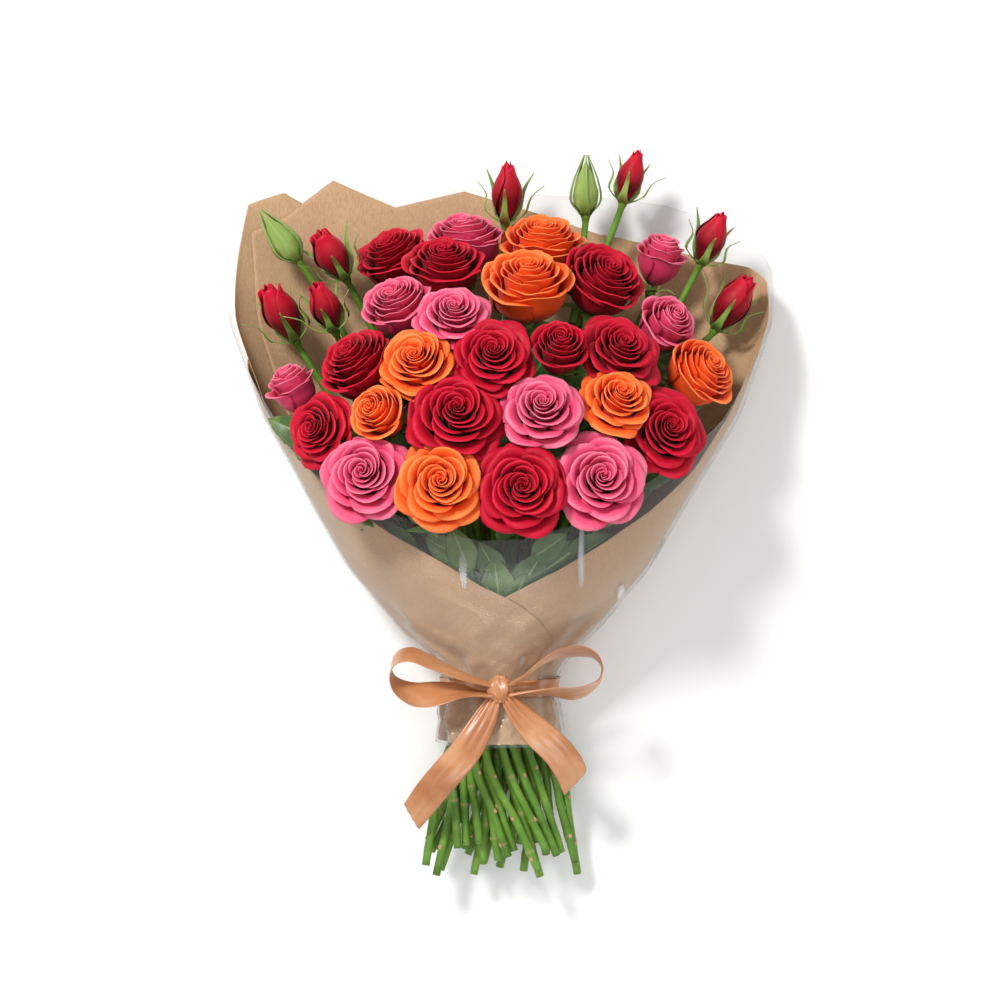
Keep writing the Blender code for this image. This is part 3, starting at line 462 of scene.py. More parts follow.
def make_rose(bloom, material):
    rng = random.Random(SEED * 100 + int(bloom.name))
    layers = {"open": OPEN_LAYERS, "cup": CUP_LAYERS, "half": HALF_LAYERS}[bloom.form]
    shape = Shape()
    start = rng.uniform(0, 2 * math.pi)
    for number, layer in enumerate(layers):
        start += math.pi / layer[0] + rng.uniform(0.1, 0.3)
        for k in range(layer[0]):
            middle = start + 2 * math.pi * k / layer[0] + rng.uniform(-0.06, 0.06)
            grid, p = petal_grid(middle, layer, rng)
            points, faces = shell(bloom.placed(grid, PETAL_GROWTH, PETAL_EASE), PETAL_THICK)
            tone = rng.uniform(0, 1)
            inner = number / (len(layers) - 1)
            # The mark is the layer's inner share, which the petal material uses to darken inner petals, partly
            # as painted shade of the centre.
            values = np.stack([p, p * 0 + tone, p * 0 + inner], -1)
            shape.add(points, faces, both_sides(values))
    name = f"rose_{bloom.name}_petals"
    return make_object(name, shape, material, [f"rose_{bloom.name}_{bloom.colour}"])


def bud_frame(tip, foot):
    axis = (Vector(tip) - Vector(foot)).normalized()
    return np.array(axis.to_track_quat("Z", "Y").to_matrix()), np.array(foot, float)


def bud_petals(tip, foot, width, lift, rng, shape, opened):
    """The wrapped petals of a bud: overlapping leaves of an egg, each turned past the last."""
    turn_to, origin = bud_frame(tip, foot)
    length = (Vector(tip) - Vector(foot)).length - lift
    u = np.linspace(-1, 1, 17)[None, :]
    v = np.linspace(0, 1, 15)[:, None]
    start = rng.uniform(0, 6)
    petals = 7
    for k in range(petals):
        inner = k / (petals - 1)
        p = v * (1 - 0.22 * np.abs(u) ** 2.5)
        wide = 0.5 * width * (1 - 0.42 * inner)
        egg = np.sin(np.minimum(p * 1.25 + 0.16, 1.9) * math.pi / 2 / 0.95) ** 0.8
        closing = 1 - (0.80 - 0.35 * opened * (1 - inner)) * np.clip((p - 0.35) / 0.65, 0, 1) ** 1.7
        radius = wide * egg * closing + 0.5 * u
        flare = (1.6 + 2.4 * opened) * (1 - inner) * np.clip((p - 0.82) / 0.18, 0, 1) ** 1.5
        radius = radius + flare
        reach = 0.90 + 0.10 * inner
        spread = 0.5 + 0.5 * np.sin(np.minimum(p / 0.5, 1) * 1.57)
        turn = start + k * 2.4 + u * (1.25 - 0.2 * inner) * spread
        turn = turn + 0.9 * p
        height = lift + length * reach * p
        grid = np.stack([radius * np.cos(turn), radius * np.sin(turn), height + 0 * turn], -1)
        points, faces = shell(grid @ turn_to.T + origin, 0.4)
        # The mark is the petal's inner share, which the petal material uses to darken inner petals, partly as
        # painted shade of the centre.
        values = np.stack([p, p * 0 + rng.uniform(0, 1), p * 0 + inner], -1)
        shape.add(points, faces, both_sides(values))


def leaf_grid(foot, tip, width, up, rng, rows=30, columns=13, arch=0.12, fold=0.30, teeth=13):
    """A rose leaflet from foot to tip: toothed edge, folded midrib, arched, with raised veins."""
    foot, tip, up = (np.array(x, float) for x in (foot, tip, up))
    along = tip - foot
    length = np.linalg.norm(along)
    along = along / length
    side = unit(np.cross(up, along))
    up = np.cross(along, side)
    t = np.linspace(0, 1, rows)[:, None]
    u = np.linspace(-1, 1, columns)[None, :]
    outline = np.sin(math.pi * np.clip(t, 0.004, 0.996) ** 0.82) ** 0.85
    saw = (t * teeth) % 1.0
    outline = outline * (1 - 0.10 * saw * (np.abs(u) > 0.9)) + 0.02
    reach = u * outline * width / 2
    vein = np.abs(((t * 7.5 - np.abs(u) * 1.6) % 1.0) - 0.5) * 2
    lift = -0.42 * (1 - vein) ** 3 * (np.abs(u) < 0.95) * outline
    lift = lift + fold * np.abs(reach) - 0.006 * reach ** 2
    lift = lift + arch * length * np.sin(math.pi * t) - 0.10 * length * t ** 3
    lift = lift + rng.uniform(0.3, 0.9) * np.sin(5 * t + rng.uniform(0, 6)) * np.abs(u) ** 2
    grid = (
        foot + along * (t * length)[..., None] + side * reach[..., None] + up * (lift + 0 * reach)[..., None]
    )
    return grid, t + 0 * u, np.abs(u) + 0 * t


def add_leaf(shape, grid, t, u, rng, young=0.0):
    points, faces = shell(grid, 0.36)
    values = np.stack([u, u * 0 + rng.uniform(0, 1), u * 0 + 2.0 + young], -1)
    shape.add(points, faces, both_sides(values))


def sepal(shape, line, width, turn_to, origin, turn, rng):
    """A pointed sepal along a line of (radius, height) in a flower's own frame."""
    path = smooth_path(line, 10)
    t = np.linspace(0, 1, 10)[:, None]
    u = np.linspace(-1, 1, 5)[None, :]
    wide = width * (1 - t ** 1.4) * (0.75 + 0.25 * np.sin(math.pi * np.minimum(t * 2.2, 1))) + 0.25
    angle = turn + rng.uniform(-0.1, 0.1)
    out = np.array((math.cos(angle), math.sin(angle), 0))
    side = np.array((-math.sin(angle), math.cos(angle), 0))
    grid = (
        out * path[:, None, :1] + np.array((0, 0, 1)) * path[:, None, 1:]
        + side * (u * wide)[..., None] + out * (0.22 * np.abs(u * wide))[..., None]
    )
    points, faces = shell(grid @ turn_to.T + origin, 0.5)
    values = np.stack([np.abs(u) + 0 * t, 0 * u * t + rng.uniform(0, 1), 0 * u * t + 3.0], -1)
    shape.add(points, faces, both_sides(values))


class Stem:
    """A stem from under its flower down to the waist, or to the stem that it branches from."""

    def __init__(self, name, node, base, axis, spot=None, host=None):
        self.name = name
        self.node = node
        self.base = Vector(base)
        self.axis = Vector(axis).normalized()
        self.spot = spot
        self.host = host
        self.path = None

    def heading(self):
        run = self.base.y - WAIST_Y
        return [self.base.x / run, (self.base.z - WAIST_Z) / run]

    def start_path(self, end):
        reach = (self.base - end).length
        below = self.base - self.axis * 0.35 * reach
        above = end + Vector((0, 0.35 * reach, 0))
        t = np.linspace(0, 1, STEM_POINTS)[:, None]
        ends = [np.array(p) for p in (self.base, below, above, end)]
        return (
            ends[0] * (1 - t) ** 3 + ends[1] * 3 * t * (1 - t) ** 2
            + ends[2] * 3 * t * t * (1 - t) + ends[3] * t ** 3
        )


def waist_spots(stems):
    """Pack the stems round the waist in the order of the fan, each node's own ones fused."""
    fan = np.array([stem.heading() for stem in stems])
    fan -= fan.mean(axis=0)
    spots = fan / np.abs(fan).max(axis=0) * BUNDLE_START
    same = np.array([[a.node == b.node for b in stems] for a in stems])
    for step in range(BUNDLE_STEPS):
        done = step / BUNDLE_STEPS
        apart = spots[:, None] - spots[None]
        space = np.linalg.norm(apart, axis=2) + np.eye(len(stems))
        away = apart / space[..., None]
        room = FREE_PITCH * min(1.0, 2 * done)
        pull = 0.2 * np.where(same, TRIO_PITCH - space, np.maximum(room - space, 0))
        np.fill_diagonal(pull, 0)
        inward = 0.01 * max(0.0, 1 - done / 0.7)
        spots = spots + (away * pull[..., None]).sum(axis=1) - inward * spots
    return spots


def bloom_balls(blooms):
    """Balls that fill each flower, which no other stem may enter."""
    balls = []
    for bloom in blooms.values():
        for share, radius in [(-0.14, 8), (0.10, 9), (0.30, 18), (0.50, 26), (0.72, 30)]:
            centre = bloom.base + bloom.axis * share * BLOOM_HEIGHT * bloom.scale
            balls.append((bloom.name, *centre, radius * bloom.scale))
    for name, _, _, tip, foot, width in BUDS:
        for share in (-0.1, 0.2, 0.5, 0.8):
            centre = Vector(foot).lerp(Vector(tip), share)
            balls.append(("bud" + name, *centre, width * 0.62))
    return balls


def settle(stems, blooms):
    """Let the stems push each other, the flowers and the wrapper apart, and stay smooth."""
    paths = np.array([stem.path for stem in stems])
    count, steps, _ = paths.shape
    node_of = np.repeat([plain_number(stem.node) for stem in stems], steps)
    apart_nodes = node_of[:, None] != node_of[None]
    balls = bloom_balls(blooms)
    centres = np.array([ball[1:4] for ball in balls])
    radii = np.array([ball[4] for ball in balls]) + STEM_R + 1.0
    foreign = np.array([[ball[0] != stem.name for ball in balls] for stem in stems])
    foreign = np.repeat(foreign, steps, axis=0)
    held = np.zeros((count, steps), bool)
    held[:, :2] = held[:, -2:] = True
    order = [stem.name for stem in stems]
    for _ in range(260):
        flat = paths.reshape(-1, 3)
        push = np.zeros_like(flat)
        apart = flat[:, None] - flat[None]
        space = np.linalg.norm(apart, axis=2) + 1e-6
        short = np.where(apart_nodes & (space < STEM_ROOM), STEM_ROOM - space, 0)
        push += 0.45 * (apart / space[..., None] * short[..., None]).sum(axis=1)
        apart = flat[:, None] - centres[None]
        space = np.linalg.norm(apart, axis=2) + 1e-6
        short = np.where(foreign & (space < radii), radii - space, 0)
        push += 0.5 * (apart / space[..., None] * short[..., None]).sum(axis=1)
        size = np.linalg.norm(push, axis=1, keepdims=True)
        push *= np.minimum(1, 1.5 / (size + 1e-9))
        push = push.reshape(paths.shape)
        smooth = np.zeros_like(paths)
        smooth[:, 1:-1] = (paths[:, 2:] + paths[:, :-2]) / 2 - paths[:, 1:-1]
        moved = paths + push + 0.35 * smooth
        moved[..., 2] = np.maximum(moved[..., 2], STEM_FLOOR)
        moved = inside_wrapper(moved, STEM_MARGIN)
        paths = np.where(held[..., None], paths, moved)
        for k, stem in enumerate(stems):
            if stem.host:
                paths[k, -1] = paths[order.index(stem.host), HOST_POINT]
                paths[k, -2] = (paths[k, -3] + paths[k, -1]) / 2
    for stem, path in zip(stems, paths):
        stem.path = path


def plain_number(name):
    return sum((k + 1) * ord(letter) for k, letter in enumerate(name))


def inside_wrapper(points, margin):
    """Bring points that stand out of the wrapper's front back under it."""
    y = points[..., 1]
    stations = np.array(STATIONS)
    half = np.interp(y, stations[:, 0], stations[:, 1]) - margin
    top = np.interp(y, stations[:, 0], stations[:, 2]) - margin
    middle = np.interp(y, stations[:, 0], stations[:, 3])
    rise = np.maximum(points[..., 2] - middle, 0)
    out = np.sqrt((points[..., 0] / half) ** 2 + (rise / (top - middle)) ** 2)
    back = np.where((out > 1) & (y < FRONT_EDGE), 1 / np.maximum(out, 1e-6), 1)
    kept = points.copy()
    kept[..., 0] = points[..., 0] * back
    kept[..., 2] = np.where(rise > 0, middle + rise * back, points[..., 2])
    return kept


def fanned(spot, share):
    """Where a stem is at a share of the way down: the bundle turns and opens as one."""
    c, s = math.cos(TWIST * share), math.sin(TWIST * share)
    x = (spot[0] * c - spot[1] * s) * (1 + (END_WIDEN - 1) * share)
    z = (spot[0] * s + spot[1] * c) * (1 + (END_DEEPEN - 1) * share)
    return np.array((x, WAIST_Y + (END_Y - WAIST_Y) * share, WAIST_Z + z - END_DROP * share))


def skin_height(x, y):
    station = [np.interp(y, [row[0] for row in STATIONS], [row[k] for row in STATIONS]) for k in (1, 2, 3)]
    half, top, middle = station
    return middle + (top - middle) * math.sqrt(max(1 - (x / half) ** 2, 0))


def stem_shape(shape, stem, flower, hip, scale, end_y, rng):
    """One stem: hip, smooth run, joints with scars where its leaves and thorns were, and a cut end."""
    axis = np.array(stem.axis)
    line = [np.array(flower) - axis * depth * scale for _, depth in hip]
    line += [p for p in stem.path[3:-1:2]]
    line.append(stem.path[-1])
    if not stem.host:
        middle, full = fanned(stem.spot, 0.5), fanned(stem.spot, 1.0)
        cut = (end_y - middle[1]) / (full[1] - middle[1])
        line += [fanned(stem.spot, 0.25), middle, middle + (full - middle) * cut * 0.5]
        line.append(middle + (full - middle) * cut)
    path = smooth_path(line, 84 if not stem.host else 40)
    run = np.concatenate([[0], np.cumsum(np.linalg.norm(np.diff(path, axis=0), axis=1))])
    depths = [depth * scale for _, depth in hip]
    thin = np.interp(run, [depths[-1], 0.7 * run[-1]], [STEM_TIP_R, STEM_R])
    radii = np.where(run < depths[-1], np.interp(run, [0, *depths[1:]], [r * scale for r, _ in hip]), thin)
    marks = np.zeros(len(path))
    joint = depths[-1] + rng.uniform(20, 34)
    joints = []
    while joint < run[-1] - 8:
        near = np.exp(-((run - joint) / 2.2) ** 2)
        radii = radii * (1 + 0.16 * near)
        marks = np.maximum(marks, 0.55 * near)
        joints.append(joint)
        joint += rng.uniform(19, 36)
    bow = np.interp(run, [0.72 * run[-1], 0.86 * run[-1], run[-1]], [0, 1, 0]) * rng.uniform(-1.6, 1.6)
    if not stem.host:
        path = path + bow[:, None] * np.array((1.0, 0, 0.3))
    points, faces = tube(path, radii, 12)
    tone = rng.uniform(0, 1)
    values = np.zeros((len(points), 3))
    values[:, 0] = np.repeat(marks, 12)
    values[:, 1] = tone
    shape.add(points, faces, values)
    for joint in joints:
        add_scar(shape, path, run, joint, radii, tone, rng)
    if not stem.host:
        add_cut(shape, path, radii, tone)


def add_scar(shape, path, run, joint, radii, tone, rng):
    """The tan, slightly raised scar of a thorn or leaf on a stem's joint, with a low point."""
    k = int(np.searchsorted(run, joint))
    if k < 2 or k > len(path) - 3:
        return
    along = unit(path[k + 1] - path[k - 1])
    out = unit(np.cross(along, (math.cos(rng.uniform(0, 6)), 0.2, math.sin(rng.uniform(0, 6)))))
    side = np.cross(along, out)
    reach = rng.uniform(0.5, 1.3)
    rings, sides = 4, 8
    turn = np.linspace(0, 2 * math.pi, sides, endpoint=False)
    loops = []
    for step in range(rings):
        share = step / (rings - 1)
        size = 1.5 * (1 - share) ** 0.7 + 0.12
        lift = radii[k] * 0.93 + reach * share
        loops.append(
            path[k] + out * lift + along * 0.4 * share
            + along * (np.cos(turn) * size * 1.25)[:, None] + side * (np.sin(turn) * size)[:, None]
        )
    points = np.concatenate(loops)
    index = np.arange(rings * sides).reshape(-1, sides)
    nxt = np.roll(index, -1, 1)
    walls = np.stack([index[:-1], nxt[:-1], nxt[1:], index[1:]], -1).reshape(-1, 4)
    values = np.array((0.85, tone, 0.0))
    shape.add(points, [walls, index[:1, ::-1], index[-1:]], values)


def add_cut(shape, path, radii, tone):
    """The pale cut face of a stem: a shallow dish with a darker rim."""
    along = unit(path[-1] - path[-2])
    side = unit(np.cross(along, (0.2, 0.1, 1.0)))
    up = np.cross(along, side)
    turn = np.linspace(0, 2 * math.pi, 12, endpoint=False)
    ring = side * np.cos(turn)[:, None] + up * np.sin(turn)[:, None]
    r = radii[-1]
    loops = [path[-1] - along * 0.4 + ring * r * 0.9]
    for share, lift in ((0.96, 0.12), (0.8, 0.22), (0.35, 0.1)):
        loops.append(path[-1] + along * lift + ring * r * share)
    points = np.concatenate(loops)
    index = np.arange(len(loops) * 12).reshape(-1, 12)
    nxt = np.roll(index, -1, 1)
    walls = np.stack([index[:-1], nxt[:-1], nxt[1:], index[1:]], -1).reshape(-1, 4)
    shape.add(points, [walls, index[:1, ::-1], index[-1:]], np.array((0.0, tone, 1.0)))


def make_greens(blooms, material):
    """Every stem with its hips, sepals, shoots and leaves, one piece for each node of the part."""
    rng = random.Random(SEED)
    looks = random.Random(SEED + 1)
    node_of = {name: f"stems_{k + 1}" for k, trio in enumerate(TRIOS) for name in trio}
    stems = []
    for name, bloom in blooms.items():
        base = bloom.foot() - bloom.axis * HIP[-1][1] * bloom.scale
        stems.append(Stem(name, node_of[name], base, bloom.axis))
    hosts, feet = {}, {}
    for name, spray, _, tip, foot, _ in BUDS:
        axis = (Vector(tip) - Vector(foot)).normalized()
        stem = Stem("bud" + name, "spray_" + spray, Vector(foot) - axis * BUD_HIP[-1][1], axis,
                    host=hosts.get(spray))
        hosts.setdefault(spray, stem.name)
        feet[stem.name] = Vector(foot)
        stems.append(stem)
    mains = [stem for stem in stems if not stem.host]
    for stem, spot in zip(mains, waist_spots(mains)):
        stem.spot = spot
        stem.path = stem.start_path(Vector((spot[0], WAIST_Y, WAIST_Z + spot[1])))
        fan = np.array(stem.heading()) * 9
        stem.path[-2] = (spot[0] + fan[0] * 0.3, WAIST_Y + 9, WAIST_Z + spot[1] + fan[1] * 0.3)
    for stem in stems:
        if stem.host:
            host = next(other for other in stems if other.name == stem.host)
            stem.path = stem.start_path(Vector(host.path[HOST_POINT]))
    settle(stems, blooms)
    shapes = {}
    for stem in stems:
        end_y = None if stem.host else END_Y + END_RANDOM * (rng.random() - 0.5)
        shape = shapes.setdefault(stem.node, Shape())
        if stem.name in blooms:
            bloom = blooms[stem.name]
            stem_shape(shape, stem, bloom.foot(), HIP, bloom.scale, end_y, looks)
            turn_to = np.array(bloom.axis.to_track_quat("Z", "Y").to_matrix()) * bloom.scale
            for k in range(5):
                droop = looks.uniform(-9, 5)
                line = [(3.0, -3.2), (8.5, 0.2), (15.5, 2.0 + 0.3 * droop), (23.0, 1.0 + droop)]
                sepal(shape, line, 3.6, turn_to, np.array(bloom.foot()), 2 * math.pi * k / 5 + 0.5, looks)
        else:
            stem_shape(shape, stem, feet[stem.name], BUD_HIP, 1.0, end_y, looks)
    for name, spray, colour, tip, foot, width in BUDS:
        shape = shapes["spray_" + spray]
        turn_to, origin = bud_frame(tip, foot)
        length = (Vector(tip) - Vector(foot)).length
        for k in range(5):
            spread = looks.uniform(0.8, 1.35)
            line = [(2.2, -3.9), (0.54 * width + 1.0, 0.13 * length),
                    (0.62 * width * spread, 0.42 * length), (0.95 * width * spread, 0.66 * length)]
            if colour == "green":
                line = [(2.2, -3.9), (0.52 * width, 0.2 * length),
                        (0.44 * width, 0.6 * length), (1.5, 1.12 * length)]
            sepal(shape, line, 3.8, turn_to, origin, 2 * math.pi * k / 5 + 0.3, looks)
        if colour == "green":
            green_bud(shape, tip, foot, width, looks)
    by_name = {stem.name: stem for stem in stems}
    for name, point, foot, tip, width, depth in LEAVES + MORE_LEAVES:
        front_leaf(shapes[node_of[name]], by_name[name], point, foot, tip, width, depth, looks)
    for stem in stems:
        if stem.name in blooms:
            under_leaves(shapes[stem.node], stem, blooms[stem.name], looks)
    for node, shape in shapes.items():
        make_object(node + "_greens", shape, material, [node])
    return [stem.spot for stem in mains]


def green_bud(shape, tip, foot, width, rng):
    """The closed green bud: a long egg with the seams of its folded sepals."""
    turn_to, origin = bud_frame(tip, foot)
    length = (Vector(tip) - Vector(foot)).length
    t = np.linspace(0, 1, 16)[:, None]
    turn = np.linspace(0, 2 * math.pi, 30, endpoint=False)[None, :]
    egg = np.interp(t, [0, 0.14, 0.38, 0.7, 0.92, 1.0], [0.22, 0.42, 0.47, 0.30, 0.09, 0.03])
    seam = 1 - 0.10 * np.abs(np.cos(2.5 * (turn + 0.5 * t))) ** 8
    radius = egg * width * seam
    grid = np.stack([radius * np.cos(turn), radius * np.sin(turn), t * length * 1.02 - 1 + 0 * turn], -1)
    points = (grid @ turn_to.T + origin).reshape(-1, 3)
    index = np.arange(16 * 30).reshape(16, 30)
    nxt = np.roll(index, -1, 1)
    walls = np.stack([index[:-1], nxt[:-1], nxt[1:], index[1:]], -1).reshape(-1, 4)
    shape.add(points, [walls, index[:1, ::-1], index[-1:]], np.array((0.5, rng.uniform(0, 1), 3.0)))


def stalk(shape, start, end, rng):
    path = smooth_path([start, (np.array(start) + end) / 2 + np.array((0, 0, -1.0)), end], 8)
    points, faces = tube(path, np.linspace(1.1, 0.7, 8), 6)
    shape.add(points, faces, np.array((0.0, rng.uniform(0, 1), 0.0)))


def front_leaf(shape, stem, point, foot, tip, width, depth, rng):
    """A leaf that shows in the wrapper's opening, lying just under its skin."""
    low = np.array((*foot, skin_height(*foot) - depth - 2.0))
    high = np.array((*tip, skin_height(*tip) - depth))
    grid, t, u = leaf_grid(low, high, width, (0, -0.2, 1), rng, fold=0.16, arch=0.06)
    limit = np.array([[skin_height(p[0], p[1]) for p in row] for row in grid]) - 6.5
    grid[..., 2] = np.minimum(grid[..., 2], limit)
    add_leaf(shape, grid, t, u, rng)
    stalk(shape, stem.path[BAR_STEP * point], low, rng)


def under_leaves(shape, stem, bloom, rng):
    """Leaves on the stem below its bloom, which fill the spaces between the heads."""
    for k, (point, length) in enumerate(((2, 40), (4, 46), (7, 46))):
        start = stem.path[point]
        out = np.array((start[0] * 0.6 + rng.uniform(-20, 20), rng.uniform(-12, 22), rng.uniform(-6, 18)))
        heading = unit(unit(out) + 0.9 * np.array(stem.axis))
        low = start + heading * 7
        high = start + heading * (7 + length * rng.uniform(0.8, 1.0))
        width = length * rng.uniform(0.50, 0.62)
        grid, t, u = leaf_grid(low, high, width, (0, 0, 1), rng, rows=22, columns=9, teeth=7)
        grid = inside_wrapper(grid, 8.5)
        grid[..., 2] = np.maximum(grid[..., 2], 9.5)
        add_leaf(shape, grid, t, u, rng, young=0.5)
        stalk(shape, start, grid[0, grid.shape[1] // 2], rng)


def make_buds(material):
    rng = random.Random(SEED + 2)
    for name, _, colour, tip, foot, width in BUDS:
        if colour == "red":
            shape = Shape()
            opened = {"5": 0.8, "8": 1.0, "7": 0.9, "9": 0.5}.get(name, 0.25)
            bud_petals(tip, foot, width, -1.0, rng, shape, opened)
            make_object(f"bud_{name}_petals", shape, material, [f"bud_{name}_red"])


def smoothed(y, column):
    """A station value at y, eased over the neighbouring heights."""
    ys = [row[0] for row in STATIONS]
    values = [row[column] for row in STATIONS]
    return sum(np.interp(y + shift, ys, values) for shift in (-8, -4, 0, 4, 8)) / 5


def skin(column, y, depth):
    """The wrapper's fine skin at a column number and height, set in by depth, with its folds."""
    half, top, middle, floor = (smoothed(y, k) for k in (1, 2, 3, 4))

    def bare(c):
        turn = np.radians(-90 + (c + 0.5) * 360 / COLUMNS)
        rise = np.sin(turn)
        up = np.where(rise > 0, (top - middle) * rise, (middle - floor) * rise * FLATTEN)
        return half * np.cos(turn), np.maximum(middle + up, floor)

    x, z = bare(column)
    ahead, behind = bare(column + 0.25), bare(column - 0.25)
    along = np.stack([ahead[0] - behind[0], ahead[1] - behind[1]], -1)
    along = along / np.maximum(np.linalg.norm(along, axis=-1, keepdims=True), 1e-9)
    nx, nz = along[..., 1], -along[..., 0]
    near = np.clip((PLEAT_END + 30 - y) / 60.0, 0, 1)
    front = np.clip(np.abs((column % COLUMNS) - 11.5) / 1.5, 0.25, 1)
    pleat = -PLEAT * np.cos(math.pi * column) * np.minimum(near * 1.6, 1) * front
    away_from_tie = np.clip(np.abs(y - WAIST_Y - 2) / 26.0, 0.08, 1)
    bend = np.sin(0.11 * y + 1.3 * column) + 0.5 * np.sin(0.23 * y - 2.1 * column + 1.0)
    ridge = 1 - 2 * np.abs(np.sin(1.25 * column + 0.55 * bend))
    fold = near * (3.4 * ridge + 1.5 * np.abs(bend) + 0.9 * np.abs(np.sin(0.31 * y + 3.7 * column)))
    soft = (1 - near) * (
        0.9 * np.sin(0.9 * column + 0.021 * y) + 0.6 * np.sin(1.7 * column - 0.033 * y + 2.0)
        + 0.8 * np.abs(np.sin(0.55 * column + 0.012 * y + 0.5 * np.sin(0.03 * y + column)))
    )
    shift = pleat + 0.8 * fold * away_from_tie + soft - depth
    shift = np.where(z < 12, np.minimum(shift, z - 0.2 - depth * 0), shift)
    return np.stack([x + nx * shift, y + 0 * x, np.maximum(z + nz * shift, 0.15)], -1)


def sheet_grid(sheet, per_column, rows, extra):
    """The grid of a wrapper's sheet, from its hem to its edge."""
    _, layer, first, hem, edge = sheet
    full = len(edge) == COLUMNS
    count = len(edge) * per_column if full else (len(edge) - 1) * per_column + 1
    steps = np.arange(count) / per_column
    top = np.interp(steps, range(len(edge) + 1), [*edge, edge[0] if full else edge[-1]])
    v = np.linspace(0, 1, rows)[:, None]
    y = hem + (top[None, :] - hem) * v
    column = first + steps[None, :] + 0 * v
    grid = skin(column, y, layer * SHEET_PITCH + SHEET_THICK / 2 + extra)
    return grid, y, column, full


def make_wrapper(kraft, film):
    for sheet in SHEETS:
        name = sheet[0]
        clear = name == "clear_film"
        if clear:
            grid, y, column, full = sheet_grid(sheet, 6, 100, -0.2)
        else:
            grid, y, column, full = sheet_grid(sheet, 8, 100, 0.0)
        points, faces = shell(grid, 0.12 if clear else 0.3, wrap=full)
        shape = Shape()
        layer = y * 0 + sheet[1] / 4
        values = np.stack([y / 100, column / COLUMNS, layer], -1)
        shape.add(points, faces, both_sides(values))
        make_object(name + "_sheet", shape, film if clear else kraft, [name])


def make_tie(spots, material):
    """A two-ply twine round the stems at the waist."""
    step = 2 * math.pi / TIE_SIDES
    turns = [step * k for k in range(TIE_SIDES)]
    room = STEM_R + GAP + TIE_R
    reach = [max(x * math.cos(turn) + z * math.sin(turn) for x, z in spots) + room for turn in turns]
    ring = [
        (reach[k] * math.cos(turns[k]), WAIST_Y, WAIST_Z + reach[k] * math.sin(turns[k]))
        for k in range(TIE_SIDES)
    ]
    path = smooth_path(ring + ring[:1], 161)[:-1]
    shape = Shape()
    for ply in (0, math.pi):
        turn = np.arange(len(path)) * 2 * math.pi * 24 / len(path) + ply
        out = unit(path - np.array((0, WAIST_Y, WAIST_Z)))
        side = np.array((0.0, 1.0, 0.0))
        centre = path + out * (np.cos(turn) * 0.42)[:, None] + side * (np.sin(turn) * 0.42)[:, None]
        around = np.linspace(0, 2 * math.pi, 8, endpoint=False)
        loops = centre[:, None] + 0.46 * (
            out[:, None] * np.cos(around)[:, None] + side * np.sin(around)[:, None]
        )
        index = np.arange(len(path) * 8).reshape(-1, 8)
        nxt, up = np.roll(index, -1, 1), np.roll(index, -1, 0)
        walls = np.stack([index, nxt, np.roll(nxt, -1, 0), up], -1).reshape(-1, 4)
        shape.add(loops.reshape(-1, 3), [walls], np.array((0.0, 0.5, 0.0)))
    return make_object("waist_twine", shape, material, ["stem_tie"])


def ribbon_strip(shape, route, sides, steps, cup, pointed=0.0):
    """A length of ribbon along a route, gathered where it is narrow, with an optional slanted end."""
    joined = [[*point[:3], *side, point[4]] for point, side in zip(route, sides)]
    fine = smooth_path(joined, steps)
    line, side, wide = fine[:, :3], fine[:, 3:6], fine[:, 6:]
    along = unit(np.gradient(line, axis=0))
    side = unit(side - along * (side * along).sum(axis=1, keepdims=True))
    up = np.cross(along, side)
    share = np.linspace(0, 1, steps)[:, None]
    u = np.linspace(-1, 1, 17)[None, :]
    loose = np.clip(1 - wide / RIBBON_WIDE, 0, 1)
    gather = loose * (1.8 * np.sin(3.5 * math.pi * u) + 0.8 * np.sin(6.1 * math.pi * u + 5 * share))
    rise = cup * (1 - u * u) + gather + 0.35 * np.sin(2.2 * u + 11 * share)
    slant = pointed * (u + 1) / 2 * np.clip((share - 0.75) / 0.25, 0, 1)
    grid = (
        line[:, None] + side[:, None] * (u * wide / 2)[..., None]
        + up[:, None] * rise[..., None] + along[:, None] * slant[..., None]
    )
    points, faces = shell(grid, 0.45)
    values = np.stack([share + 0 * u, u + 0 * share, 0 * u * share], -1)
    shape.add(points, faces, both_sides(values))


def make_ribbon(material):
    """The satin bow: band, knot, two loops and two tails."""
    shape = Shape()
    steps = np.arange(COLUMNS * 8) / 8
    v = np.linspace(0, 1, 13)[:, None]
    low, high = WAIST_Y - BAND_WIDE / 2, WAIST_Y + BAND_WIDE / 2
    band = skin(steps[None, :] + 0 * v, low + (high - low) * v + 0 * steps[None, :], -GAP - RIBBON_THICK / 2)
    band[..., 2] += 0.4 * np.sin(5 * math.pi * v) * (band[..., 2] > WAIST_Z)
    points, faces = shell(band, 0.5, wrap=True)
    around = steps[None, :] / COLUMNS + 0 * v
    values = np.stack([around, 2 * v - 1 + 0 * around, 0 * around], -1)
    shape.add(points, faces, both_sides(values))
    for route in LOOPS:
        leans = [math.radians(point[3]) for point in route]
        across = [(0, -math.sin(turn), math.cos(turn)) for turn in leans]
        ribbon_strip(shape, route, across, 110, 0.4)
    for route in TAILS:
        hand = 1 if route[-1][0] > 0 else -1
        route = [(*p[:4], p[4] * wide) for p, wide in zip(route, (0.9, 0.85, 0.85, 0.9, 0.9, 0.8))]
        ribbon_strip(shape, route, [(1, 0.45 * hand, 0)] * len(route), 70, 1.2, pointed=-13.0 * hand)
    add_knot(shape)
    return make_object("satin_bow", shape, material, ["satin_ribbon"])


